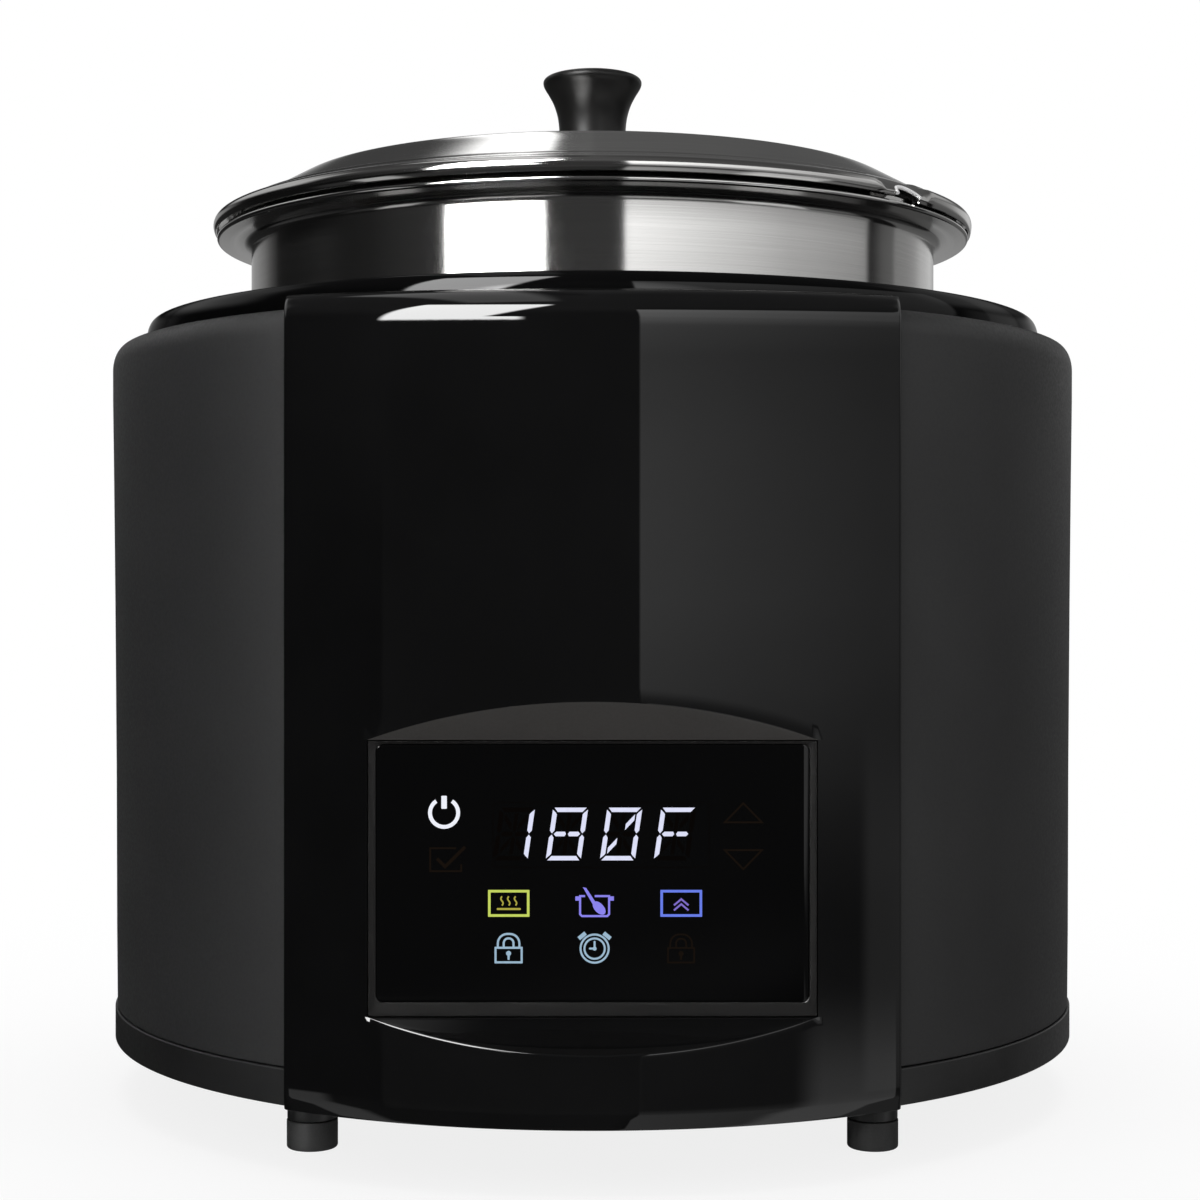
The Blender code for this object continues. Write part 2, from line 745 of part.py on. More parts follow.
# (radius, z) of the choke's chamfered ring
CHOKE_PROFILE = [
    (7.0, ON_BOARD + 1.5), (9.0, ON_BOARD),
    (17.0, ON_BOARD), (19.0, ON_BOARD + 1.5),
    (19.0, ON_BOARD + 11.5), (17.0, ON_BOARD + 13.0),
    (9.0, ON_BOARD + 13.0), (7.0, ON_BOARD + 11.5),
]


def comb(width, fins, fin_t, base_t, height):
    """Finned profile in (x, z), counter-clockwise from the lower left."""
    points = [(-width / 2, 0), (width / 2, 0)]
    pitch = (width - fin_t) / (fins - 1)
    for k in range(fins - 1, -1, -1):
        left = -width / 2 + k * pitch
        points += [(left + fin_t, height), (left, height)]
        if k:
            points += [(left, base_t), (left - pitch + fin_t, base_t)]
    return points


def build_electronics():
    board = box(
        about(0, BOARD_HALF), (BOARD_FRONT, BOARD_REAR), (BOARD_Z, BOARD_Z + BOARD_T)
    )
    place("power_board", board, BOARD_GREEN)
    for k, (x, y) in enumerate(STANDOFF_AT):
        standoff = rod(x, y, ON_PAN, BOARD_Z - GAP, radius=4.0, segments=6)
        place(f"board_standoff_{k + 1}", standoff, ALUMINIUM)
    module = box(x=about(0, 22), y=(-18, 12), z=(ON_BOARD, MODULE_TOP))
    place("power_module", module, BLACK_PLASTIC)
    fins = comb(width=90.0, fins=10, fin_t=2.0, base_t=4.0, height=30.0)
    sink = lofted([[(x, y, SINK_Z + z) for x, z in fins] for y in (-28.0, 26.0)])
    place("heat_sink", sink, ALUMINIUM)
    capacitor = rod(52, -62, ON_BOARD, ON_BOARD + 34, radius=12.5)
    place("filter_capacitor", capacitor, FERRITE)
    place("choke_coil", turned(CHOKE_PROFILE, 20, x=-50, y=-62), COPPER)
    terminals = box(x=(58, 80), y=(118, 140), z=(ON_PAN, 40))
    place("terminal_block", terminals, TERMINAL_GREY)


# =====================================================================
# Fan
# =====================================================================
HUB_BORE_R = 2.5
HUB_R = 17.5
HUB_LOW = FAN_LOW + 4.0
HUB_BORE_TOP = FAN_LOW + 19.0
HUB_TOP = FAN_HIGH - 1.5
BLADE_COUNT = 7
BLADE_SIZE = (25.0, 19.0, 1.6)  # radial length, chord, thickness
BLADE_R = 28.5  # blade centre from the fan axis
BLADE_PITCH = 38  # degrees


def build_fan_frame():
    half = FAN_SIZE / 2
    frame = place(
        "fan_frame",
        box(about(0, half), about(FAN_Y, half), (FAN_LOW, FAN_HIGH)),
        BLACK_PLASTIC,
    )
    cut(frame, "fan_bore", rod(0, FAN_Y, FAN_LOW - 5, FAN_HIGH + 5, FAN_BORE_R, 32))
    struts = bmesh.new()
    for angle in (45, 135):
        box(
            about(0, FAN_BORE_R + 1.5),
            about(0, 2.0),
            (FAN_LOW + 0.4, FAN_LOW + 2.6),
            turn=radians(angle),
            into=struts,
        )
    bmesh.ops.translate(struts, verts=struts.verts, vec=(0, FAN_Y, 0))
    join(frame, "fan_struts", struts)
    join(frame, "fan_hub_plate", rod(0, FAN_Y, FAN_LOW + 0.2, FAN_LOW + 3.0, 16.0))
    join(frame, "fan_axle", rod(0, FAN_Y, FAN_LOW + 1.0, FAN_LOW + 18.0, 2.0, 12))


def build_fan_rotor():
    hub = [
        (HUB_BORE_R, HUB_LOW),
        (HUB_R, HUB_LOW),
        (HUB_R, HUB_TOP - 1.0),
        (HUB_R - 1.0, HUB_TOP),
        (0, HUB_TOP),
        (0, HUB_BORE_TOP),
        (HUB_BORE_R, HUB_BORE_TOP),
    ]
    fan_axis = pivot("fan_spin_axis", 0, FAN_Y, FAN_LOW)
    rotor = place("fan_rotor", turned(hub, 24, y=FAN_Y), BLACK_PLASTIC, parent=fan_axis)
    blades = bmesh.new()
    for k in range(BLADE_COUNT):
        matrix = (
            Matrix.Translation((0, FAN_Y, FAN_LOW + 13.0))
            @ Matrix.Rotation(2 * pi * k / BLADE_COUNT, 4, "Z")
            @ Matrix.Translation((BLADE_R, 0, 0))
            @ Matrix.Rotation(radians(BLADE_PITCH), 4, "X")
            @ Matrix.Diagonal((*BLADE_SIZE, 1.0))
        )
        bmesh.ops.create_cube(blades, size=1.0, matrix=matrix)
    join(rotor, "fan_blades", blades)


# =====================================================================
# Rear grille and power inlet
# =====================================================================
SLOT_COUNT = 8
SLOT_PITCH = 6.0
SLOT_HALF = 1.7
SLOT_SPANS = [(-53, -2.5), (2.5, 53)]  # x, either side of the middle rib
PIN_AT = [(-6.5, -1.5), (6.5, -1.5), (0, 2.5)]  # x, z from the inlet's centre


def build_grille():
    profile = rectangle(180.4, 183.2, GRILLE_LOW, GRILLE_HIGH)
    grille = place("rear_grille", bowed(profile, GRILLE_HALF, 8, side=1.0), BLACK_PLASTIC)
    slots = bmesh.new()
    for k in range(SLOT_COUNT):
        z = GRILLE_LOW + 9.0 + k * SLOT_PITCH
        for span in SLOT_SPANS:
            box(span, (150, 200), about(z, SLOT_HALF), into=slots)
    cut(grille, "grille_slots", slots)


def build_inlet():
    body = box(about(0, INLET_HALF_W), (152.0, 184.4), about(INLET_Z, INLET_HALF_H))
    inlet = place("power_inlet", body, BLACK_PLASTIC)
    flange = box(about(0, 18.5), (180.2, 183.0), about(INLET_Z, 13.5))
    join(inlet, "inlet_flange", flange)
    socket = box(about(0, 11.0), (166.0, 190.0), about(INLET_Z, 7.5))
    cut(inlet, "inlet_socket", socket)
    pins = bmesh.new()
    for x, z in PIN_AT:
        box(about(x, 1.0), (160.0, 181.0), about(INLET_Z + z, 2.2), into=pins)
    join(inlet, "inlet_pins", pins)


# =====================================================================
# Feet and fasteners
# =====================================================================
FOOT_R = 8.45
PAD_TOP = 9.5
PAD_RECESS_R = 5.2  # recess for the screw head
PAD_RECESS_TOP = 4.4
FOOT_SHANK_R = 2.5
FOOT_HEAD_TOP = PAD_RECESS_TOP - GAP
BASE_SHANK_R = 1.7

PAD_PROFILE = [
    (PAD_RECESS_R, 0), (FOOT_R, 0), (FOOT_R, PAD_TOP), (FOOT_BORE_R, PAD_TOP),
    (FOOT_BORE_R, PAD_RECESS_TOP), (PAD_RECESS_R, PAD_RECESS_TOP),
]
SPACER_PROFILE = rectangle(FOOT_BORE_R, FOOT_R - 0.2, PAD_TOP + GAP, PAN_LOW - GAP)
FOOT_SCREW_PROFILE = [
    (0, 1.4), (4.7, 1.4), (4.7, FOOT_HEAD_TOP),
    (FOOT_SHANK_R, FOOT_HEAD_TOP), (FOOT_SHANK_R, 27.5), (0, 27.5),
]
BASE_SCREW_PROFILE = [
    (0, PAN_LOW - 2.4), (2.6, PAN_LOW - 2.2), (3.5, PAN_LOW - GAP),
    (BASE_SHANK_R, PAN_LOW - GAP), (BASE_SHANK_R, PAN_LOW + 6.5), (0, PAN_LOW + 6.5),
]


def build_feet():
    for n, (x, y) in enumerate(FOOT_AT, start=1):
        place(f"foot_pad_{n}", turned(PAD_PROFILE, 14, x, y), RUBBER)
        place(f"foot_spacer_{n}", turned(SPACER_PROFILE, 14, x, y), SATIN_BLACK)
        place(f"foot_screw_{n}", turned(FOOT_SCREW_PROFILE, 12, x, y), STEEL)


def build_base_screws():
    for n, (x, y) in enumerate(BASE_SCREW_AT, start=1):
        place(f"base_screw_{n}", turned(BASE_SCREW_PROFILE, 12, x, y), STEEL)


def main():
    for old in list(bpy.data.objects):
        bpy.data.objects.remove(old, do_unlink=True)
    build_pan()
    build_skirt()
    build_shell()
    build_deck()
    build_panel()
    build_display()
    build_well()
    build_pot_and_lid()
    build_coil()
    build_sensor()
    build_electronics()
    build_fan_frame()
    build_fan_rotor()
    build_grille()
    build_inlet()
    build_feet()
    build_base_screws()


main()
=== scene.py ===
"""Round countertop induction warmer with an inset pot, a notched lid and a lit display.

The vertical axis is Z and the feet stand on z = 0. The display faces -Y, so the viewer's
right is +X. Shapes are given in millimetres; the scene is in metres.
"""

from functools import reduce
from math import acos, asin, atan2, cos, hypot, pi, radians, sin, sqrt, tan

import bmesh
import bpy
from mathutils import Matrix, Vector


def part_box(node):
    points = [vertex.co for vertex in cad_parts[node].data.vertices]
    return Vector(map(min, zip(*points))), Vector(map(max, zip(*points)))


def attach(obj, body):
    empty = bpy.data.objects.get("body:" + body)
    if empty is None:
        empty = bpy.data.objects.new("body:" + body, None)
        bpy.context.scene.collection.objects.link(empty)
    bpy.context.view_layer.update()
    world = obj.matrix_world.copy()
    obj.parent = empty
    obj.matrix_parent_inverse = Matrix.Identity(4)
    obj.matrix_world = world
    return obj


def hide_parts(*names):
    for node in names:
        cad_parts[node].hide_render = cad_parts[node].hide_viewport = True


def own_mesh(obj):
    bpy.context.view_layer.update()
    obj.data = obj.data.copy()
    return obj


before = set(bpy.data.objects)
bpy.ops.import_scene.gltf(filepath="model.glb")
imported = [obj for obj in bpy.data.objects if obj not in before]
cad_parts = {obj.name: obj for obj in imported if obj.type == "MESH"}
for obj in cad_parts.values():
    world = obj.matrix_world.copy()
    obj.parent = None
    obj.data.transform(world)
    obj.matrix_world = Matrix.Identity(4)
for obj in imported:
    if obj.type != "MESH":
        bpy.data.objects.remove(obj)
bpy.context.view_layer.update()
MM = 0.001
scene = bpy.context.scene


# ======================================================================
# driving sizes, read from the CAD parts
# ======================================================================
def span(node):
    """Low and high corner of a CAD part, in millimetres."""
    low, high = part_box(node)
    return [v / MM for v in low], [v / MM for v in high]


PANEL_LO, PANEL_HI = span("front_panel")
DECK_LO, DECK_HI = span("top_deck")
KNOB_LO, KNOB_HI = span("lid_knob")
GLASS_LO, GLASS_HI = span("display_glass")
BEZEL_LO, BEZEL_HI = span("display_bezel")
PAN_LO, PAN_HI = span("base_pan")
GRILLE_LO, GRILLE_HI = span("rear_grille")
SKIRT_HI = span("skirt_ring")[1]

PANEL_RADIUS = -PANEL_LO[1]
PANEL_HALF = PANEL_HI[0]
PANEL_BOTTOM = PANEL_LO[2]
SKIRT_RADIUS = SKIRT_HI[0]
SHELL_RADIUS = span("side_shell")[1][0]
DECK_RADIUS = DECK_HI[0]
DECK_Z = DECK_HI[2]
PAN_Z = PAN_LO[2]
POT_Z = span("pot")[0][2]
LID_TOP = span("lid")[1][2]
KNOB_Z = KNOB_LO[2]
WELL_Z = span("well_liner")[0][2]
GAP_HALF = 98.1  # half width of the opening that the front panel fills
INLET_Z = 48.0

# display pocket: flat back plane, and a floor and ceiling that flare towards the front
POCKET_Y = BEZEL_LO[1] + 0.2
POCKET_LOW = BEZEL_LO[2] - 0.4
POCKET_HIGH = BEZEL_HI[2] + 0.4
POCKET_HALF = sqrt(PANEL_RADIUS**2 - POCKET_Y**2) - 0.05
CEILING_SLOPE = 12.4 / 13.7
FLOOR_SLOPE = 9.4 / 13.7


# ======================================================================
# meshes
# ======================================================================
def add_object(name, bm):
    mesh = bpy.data.meshes.new(name)
    bm.to_mesh(mesh)
    bm.free()
    ob = bpy.data.objects.new(name, mesh)
    scene.collection.objects.link(ob)
    return ob


def tidy(bm, merge):
    """Merge close points, then drop collapsed faces and loose points."""
    bmesh.ops.remove_doubles(bm, verts=bm.verts, dist=merge)
    bmesh.ops.dissolve_degenerate(bm, edges=bm.edges, dist=merge * 0.5)
    loose = [v for v in bm.verts if not v.link_faces]
    bmesh.ops.delete(bm, geom=loose, context="VERTS")


def soften(mesh, sharp):
    """Smooth shading, with edges above the given angle kept sharp."""
    mesh.shade_smooth()
    mesh.set_sharp_from_angle(angle=radians(sharp))


def build(name, points, faces, finish, replaces=None, body="base", sharp=32.0, merge=2e-6):
    """Closed mesh from millimetre points; body None leaves it to be mounted later."""
    bm = bmesh.new()
    verts = [bm.verts.new((x * MM, y * MM, z * MM)) for x, y, z in points]
    for face in faces:
        bm.faces.new([verts[i] for i in face])
    tidy(bm, merge)
    bmesh.ops.recalc_face_normals(bm, faces=bm.faces)
    ob = add_object(name, bm)
    soften(ob.data, sharp)
    if finish is not None:
        ob.data.materials.append(finish.material)
    if body is not None:
        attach(ob, body)
    if replaces:
        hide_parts(replaces)
    return ob


def lathe(
    name, profile, segments, finish, replaces=None, body="base", sharp=32.0, centre=(0.0, 0.0), warp=None
):
    """Turn an (r, z) profile about the vertical through centre.

    The profile closes on itself unless both ends lie on the axis. warp(r, z, angle, index)
    gives a point its own height.
    """
    open_ends = profile[0][0] < 1e-6 and profile[-1][0] < 1e-6
    count = len(profile)
    points, faces = [], []
    for k in range(segments):
        angle = 2 * pi * k / segments
        along_x, along_y = cos(angle), sin(angle)
        for j, (r, z) in enumerate(profile):
            height = warp(r, z, angle, j) if warp else z
            points.append((centre[0] + r * along_x, centre[1] + r * along_y, height))
    for k in range(segments):
        here, following = k * count, (k + 1) % segments * count
        for j in range(count - 1 if open_ends else count):
            j2 = (j + 1) % count
            faces.append((here + j, following + j, following + j2, here + j2))
    return build(name, points, faces, finish, replaces, body, sharp)


def loft(rows, ring=False):
    """Points and faces through closed rows, capped at both ends or joined in a ring."""
    count, total = len(rows[0]), len(rows)
    faces = []
    for i in range(total if ring else total - 1):
        here, following = i * count, (i + 1) % total * count
        for j in range(count):
            j2 = (j + 1) % count
            faces.append((here + j, here + j2, following + j2, following + j))
    if not ring:
        faces.append(tuple(range(count)))
        faces.append(tuple((total - 1) * count + j for j in reversed(range(count))))
    return [p for row in rows for p in row], faces


def cut(ob, cutter, node, body="base"):
    """Take the cutter out of a part as plain geometry, then mount the part."""
    modifier = ob.modifiers.new("cut", "BOOLEAN")
    modifier.operation = "DIFFERENCE"
    modifier.solver = "EXACT"
    modifier.object = cutter
    bpy.context.view_layer.update()
    depsgraph = bpy.context.evaluated_depsgraph_get()
    mesh = bpy.data.meshes.new_from_object(ob.evaluated_get(depsgraph))
    ob.modifiers.remove(modifier)
    uncut = ob.data
    ob.data = mesh
    mesh.name = ob.name
    bpy.data.meshes.remove(uncut)
    bm = bmesh.new()
    bm.from_mesh(mesh)
    tidy(bm, 2e-7)
    bm.to_mesh(mesh)
    bm.free()
    bpy.data.objects.remove(cutter)
    soften(mesh, 30)
    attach(ob, body)
    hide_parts(node)


def box_cutter(boxes):
    """Cutter made of (x0, x1, y0, y1, z0, z1) boxes."""
    bm = bmesh.new()
    for x0, x1, y0, y1, z0, z1 in boxes:
        middle = ((x0 + x1) / 2 * MM, (y0 + y1) / 2 * MM, (z0 + z1) / 2 * MM)
        size = ((x1 - x0) * MM, (y1 - y0) * MM, (z1 - z0) * MM, 1)
        matrix = Matrix.Translation(middle) @ Matrix.Diagonal(size)
        bmesh.ops.create_cube(bm, size=1.0, matrix=matrix)
    return add_object("cut", bm)


# ======================================================================
# outlines
# ======================================================================
def clamp(value):
    return max(0.0, min(1.0, value))


def ease(value):
    """Smooth step from 0 to 1."""
    t = clamp(value)
    return t * t * (3 - 2 * t)


def corner_angle(u, v):
    return acos(max(-1.0, min(1.0, u.dot(v))))


def corner_arc(corner, u, v, angle, reach, radius, steps=None):
    """Arc that rounds a corner; u and v leave it along its sides and reach is how far."""
    start, end = corner + u * reach, corner + v * reach
    centre = corner + (u + v).normalized() * (radius / sin(angle / 2))
    first = atan2(start.y - centre.y, start.x - centre.x)
    final = atan2(end.y - centre.y, end.x - centre.x)
    turn = (final - first + pi) % (2 * pi) - pi
    steps = steps or max(2, int(abs(turn) / radians(15)) + 1)
    turns = [first + turn * k / steps for k in range(steps + 1)]
    return [(centre.x + radius * cos(a), centre.y + radius * sin(a)) for a in turns]


def rounded(corners, closed=True):
    """Outline through (r, z) or (r, z, fillet) corners, with arcs at the fillets."""
    outline = []
    count = len(corners)
    for i, (r, z, *fillet) in enumerate(corners):
        if not fillet or fillet[0] <= 0 or (not closed and i in (0, count - 1)):
            outline.append((r, z))
            continue
        corner = Vector((r, z))
        u = Vector(corners[i - 1][:2]) - corner
        v = Vector(corners[(i + 1) % count][:2]) - corner
        u_length, v_length = u.length, v.length
        u, v = u / u_length, v / v_length
        angle = corner_angle(u, v)
        if angle > pi - 0.02:
            outline.append((r, z))
            continue
        reach = min(fillet[0] / tan(angle / 2), u_length * 0.49, v_length * 0.49)
        outline += corner_arc(corner, u, v, angle, reach, reach * tan(angle / 2))
    return outline


def quarter(r, z, across, up, degrees):
    """Points of an ellipse quarter that leaves (r, z) vertically."""
    return [(r + across * (1 - cos(radians(d))), z + up * sin(radians(d))) for d in degrees]


def smooth_curve(stations, per):
    """Catmull-Rom curve with per points to each stretch."""
    curve = []
    last = len(stations) - 1
    for i in range(last):
        p0 = Vector(stations[max(0, i - 1)])
        p1, p2 = Vector(stations[i]), Vector(stations[i + 1])
        p3 = Vector(stations[min(last, i + 2)])
        for k in range(per):
            t = k / per
            point = 0.5 * (
                2 * p1
                + (p2 - p0) * t
                + (2 * p0 - 5 * p1 + 4 * p2 - p3) * t * t
                + (3 * p1 - p0 - 3 * p2 + p3) * t**3
            )
            curve.append(tuple(point))
    curve.append(tuple(stations[-1]))
    return curve


def offset_left(line, distance):
    """Polyline moved to the left of its direction of travel."""
    moved = []
    for i, point in enumerate(line):
        before = Vector(line[max(0, i - 1)])
        after = Vector(line[min(len(line) - 1, i + 1)])
        along = (after - before).normalized()
        moved.append((point[0] - along.y * distance, point[1] + along.x * distance))
    return moved


def circle(cx, cz, radius, steps):
    turns = [2 * pi * k / steps for k in range(steps)]
    return [(cx + radius * cos(a), cz + radius * sin(a)) for a in turns]


def round_rect(x0, x1, z0, z1, radius, steps=4):
    outline = []
    left, right, low, high = x0 + radius, x1 - radius, z0 + radius, z1 - radius
    for cx, cz, start in ((right, high, 0), (left, high, 90), (left, low, 180), (right, low, 270)):
        for k in range(steps + 1):
            a = radians(start + 90 * k / steps)
            outline.append((cx + radius * cos(a), cz + radius * sin(a)))
    return outline


def rect_row(x0, x1, z0, z1, radius, y, steps):
    """Rounded rectangle standing in the plane y."""
    return [(x, y, z) for x, z in round_rect(x0, x1, z0, z1, radius, steps)]


def wire_ring(centre, first, second, radius, sides):
    """Circle about centre in the plane of two unit directions."""
    turns = [2 * pi * k / sides for k in range(sides)]
    return [tuple(centre + first * radius * cos(a) + second * radius * sin(a)) for a in turns]


# ======================================================================
# finishes
# ======================================================================
MID = (0.3, 0.7)  # where most noise values fall
UNIT = (0.0, 1.0)


class Nodes:
    """Short ways to add shader nodes to one tree."""

    def __init__(self, tree):
        self.tree = tree

    def feed(self, socket, value):
        """Link a node output to a socket, or set the socket to a plain value."""
        if isinstance(value, bpy.types.NodeSocket):
            self.tree.links.new(value, socket)
        else:
            socket.default_value = value

    def add(self, kind, inputs=None, **settings):
        node = self.tree.nodes.new("ShaderNode" + kind)
        for key, value in settings.items():
            setattr(node, key, value)
        for key, value in (inputs or {}).items():
            self.feed(node.inputs[key], value)
        return node

    def math(self, operation, *values):
        return self.add("Math", dict(enumerate(values)), operation=operation).outputs[0]

    def remap(self, value, source, target, **settings):
        """Carry a value from the source range to the target range."""
        inputs = {"Value": value, "From Min": source[0], "From Max": source[1]}
        inputs |= {"To Min": target[0], "To Max": target[1]}
        return self.add("MapRange", inputs, **settings).outputs["Result"]

    def mix(self, factor, *colours):
        first, second = [(*c, 1.0) if isinstance(c, tuple) else c for c in colours]
        inputs = {"Factor": factor, 6: first, 7: second}
        return self.add("Mix", inputs, data_type="RGBA").outputs[2]


class Surface(Nodes):
    """Principled material with nodes that vary it, and the slot its parts belong to."""

    def __init__(self, name, base, rough, metal=0.0, slot=None, **inputs):
        self.material = bpy.data.materials.new(name)
        self.material.use_nodes = True
        super().__init__(self.material.node_tree)
        self.shader = self.tree.nodes["Principled BSDF"]
        self.slot = slot
        self.place = self.add("TexCoord").outputs["Object"]
        self.normal = None
        self.set(Base_Color=(*base, 1.0), Roughness=rough, Metallic=metal, **inputs)

    def set(self, **inputs):
        """Feed shader inputs, written with underscores for spaces."""
        for key, value in inputs.items():
            self.feed(self.shader.inputs[key.replace("_", " ")], value)

    def stretched(self, *factors):
        inputs = {0: self.place, 1: factors}
        return self.add("VectorMath", inputs, operation="MULTIPLY").outputs[0]

    def polar(self, angle_by, radius_by, height_by):
        """(angle, radius, height) about the vertical axis, each times its factor."""
        x, y, z = self.add("SeparateXYZ", {0: self.place}).outputs
        flat = self.add("CombineXYZ", {0: x, 1: y}).outputs[0]
        radius = self.add("VectorMath", {0: flat}, operation="LENGTH").outputs["Value"]
        pairs = ((self.math("ARCTAN2", y, x), angle_by), (radius, radius_by), (z, height_by))
        scaled = [self.math("MULTIPLY", source, factor) for source, factor in pairs]
        return self.add("CombineXYZ", dict(enumerate(scaled))).outputs[0]

    def noise(self, scale=1.0, detail=3.0, rough=0.55, distort=0.0, at=None):
        inputs = {"Vector": self.place if at is None else at, "Scale": scale}
        inputs |= {"Detail": detail, "Roughness": rough, "Distortion": distort}
        return self.add("TexNoise", inputs).outputs["Fac"]

    def shade(self, field, dark, light, over=MID):
        """Colour from dark to light as the field crosses the range over."""
        self.set(Base_Color=self.mix(self.remap(field, over, UNIT), dark, light))

    def roughen(self, field, low, high, over=MID):
        self.set(Roughness=self.remap(field, over, (low, high)))

    def bump(self, height, strength, distance):
        """Add a bump on top of those already there."""
        inputs = {"Strength": strength, "Distance": distance, "Height": height}
        if self.normal is not None:
            inputs["Normal"] = self.normal
        self.normal = self.add("Bump", inputs).outputs["Normal"]
        self.set(Normal=self.normal)


def times(colour, factor):
    return tuple(c * factor for c in colour)


def grained(name, base, rough, fine, mottle, tones, sheen, bump, over=MID, slot=None):
    """Matt surface: mottle noise moves the colour, fine noise the roughness and relief.

    tones is (dark, light), sheen a roughness range and bump (strength, distance).
    """
    surface = Surface(name, base, rough, slot=slot)
    grain = surface.noise(**fine)
    surface.shade(surface.noise(**mottle), *tones, over)
    surface.roughen(grain, *sheen)
    surface.bump(grain, *bump)
    return surface


def powder_coat():
    surface = grained(
        "powder_coat_charcoal",
        base=(0.017, 0.017, 0.0175),
        rough=0.46,
        fine=dict(scale=900.0, detail=2.0, rough=0.6),
        mottle=dict(scale=26.0, detail=4.0, rough=0.6),
        tones=((0.0098, 0.0098, 0.0100), (0.0128, 0.0128, 0.0130)),
        sheen=(0.40, 0.56),
        bump=(0.22, 0.00006),
        slot="shell_paint",
    )
    peel = surface.noise(scale=320.0, detail=2.0, rough=0.5)
    surface.bump(peel, strength=0.16, distance=0.00014)
    return surface


def satin_black():
    return grained(
        "satin_black",
        base=(0.009, 0.009, 0.009),
        rough=0.36,
        fine=dict(scale=700.0, detail=2.0),
        mottle=dict(scale=40.0, detail=3.0),
        tones=((0.0075, 0.0075, 0.0075), (0.012, 0.012, 0.012)),
        sheen=(0.30, 0.42),
        bump=(0.12, 0.00006),
        slot="satin_black",
    )


def rubber(name, base, rough, slot=None):
    return grained(
        name,
        base,
        rough,
        fine=dict(scale=1200.0, detail=3.0, rough=0.6),
        mottle=dict(scale=120.0, detail=4.0, rough=0.6),
        tones=(base, times(base, 1.9)),
        sheen=(rough - 0.08, rough + 0.1),
        bump=(0.25, 0.00008),
        over=(0.35, 0.75),
        slot=slot,
    )


def moulded(name, base, rough, scale=1100.0, depth=0.00006, lift=1.3, slot=None):
    """Moulded plastic; depth is the grain's relief, lift how much the mottle brightens."""
    return grained(
        name,
        base,
        rough,
        fine=dict(scale=scale, detail=2.0, rough=0.6),
        mottle=dict(scale=50.0, detail=3.0, rough=0.6),
        tones=(base, times(base, lift)),
        sheen=(rough - 0.07, rough + 0.08),
        bump=(0.2, depth),
        slot=slot,
    )


def gloss_black(name, base, rough, slot="gloss_black"):
    surface = Surface(name, base, rough, slot=slot, IOR=1.5)
    haze = surface.noise(scale=14.0, detail=5.0, rough=0.65)
    surface.shade(haze, base, times(base, 1.5), over=(0.35, 0.7))
    surface.roughen(haze, rough, rough * 1.6, over=(0.3, 0.75))
    ripple = surface.noise(scale=260.0, detail=2.0, rough=0.5)
    surface.bump(ripple, strength=0.006, distance=0.00012)
    return surface


def deck_lacquer():
    """Gloss black whose reflections weaken where it turns away from the eye."""
    surface = gloss_black("gloss_black_deck", base=(0.0022, 0.0022, 0.0023), rough=0.030)
    facing = surface.add("LayerWeight", {"Blend": 0.5}).outputs["Facing"]
    near = surface.remap(facing, source=(0.035, 0.065), target=(0.5, 0.18))
    far = surface.remap(facing, source=(0.60, 0.72), target=(1.0, 0.05))
    surface.set(Specular_IOR_Level=surface.math("MULTIPLY", near, far))
    return surface


def brushed_steel(name, base, sheen, aniso, height_streaks, radius_streaks, tint):
    """Steel brushed round the axis; the streaks are how fine the lines are, tint their contrast."""
    surface = Surface(
        name,
        base,
        sheen[0],
        metal=1.0,
        slot="brushed_steel",
        Anisotropic=aniso,
        Anisotropic_Rotation=0.25,
    )
    tangent = surface.add("Tangent", direction_type="RADIAL", axis="Z")
    surface.set(Tangent=tangent.outputs[0])
    around = surface.polar(angle_by=1.6, radius_by=radius_streaks, height_by=height_streaks)
    line = surface.noise(at=around, detail=5.0, rough=0.75)
    wide = surface.polar(
        angle_by=0.9, radius_by=radius_streaks * 0.06, height_by=height_streaks * 0.06
    )
    broad = surface.noise(at=wide, detail=3.0, rough=0.6)
    spots = surface.noise(scale=16.0, detail=3.0, rough=0.6)
    surface.shade(line, times(base, 1.0 - tint), times(base, 1.0 + tint), over=(0.25, 0.75))
    # shares of the broad lines and of the spots in the roughness
    broad_share, spots_share = 0.35, 0.25
    lines = surface.math("MULTIPLY_ADD", broad, broad_share, line)
    wear = surface.math("MULTIPLY_ADD", spots, spots_share, lines)
    surface.roughen(wear, *sheen, over=(0.45, 1.15))
    surface.bump(line, strength=0.06, distance=0.00005)
    return surface


def phenolic():
    surface = Surface(
        "phenolic_black", (0.007, 0.0068, 0.0065), 0.16, slot="phenolic_black", IOR=1.55
    )
    fine = surface.noise(scale=500.0, detail=3.0, rough=0.6)
    swirl = surface.noise(scale=60.0, detail=4.0, rough=0.6, distort=0.8)
    dark, light = (0.0048, 0.0047, 0.0046), (0.0105, 0.0102, 0.0098)
    surface.shade(swirl, dark, light, over=(0.35, 0.7))
    surface.roughen(swirl, low=0.30, high=0.42)
    surface.set(Specular_IOR_Level=0.23)
    surface.bump(fine, strength=0.05, distance=0.00008)
    return surface


def bezel_satin():
    surface = Surface("bezel_satin", (0.0050, 0.0046, 0.0044), 0.32, slot="satin_black")
    fine = surface.noise(scale=800.0, detail=2.0)
    surface.shade(fine, dark=(0.0044, 0.0041, 0.0040), light=(0.0060, 0.0056, 0.0054))
    surface.roughen(fine, low=0.28, high=0.34)
    surface.bump(fine, strength=0.02, distance=0.00003)
    return surface


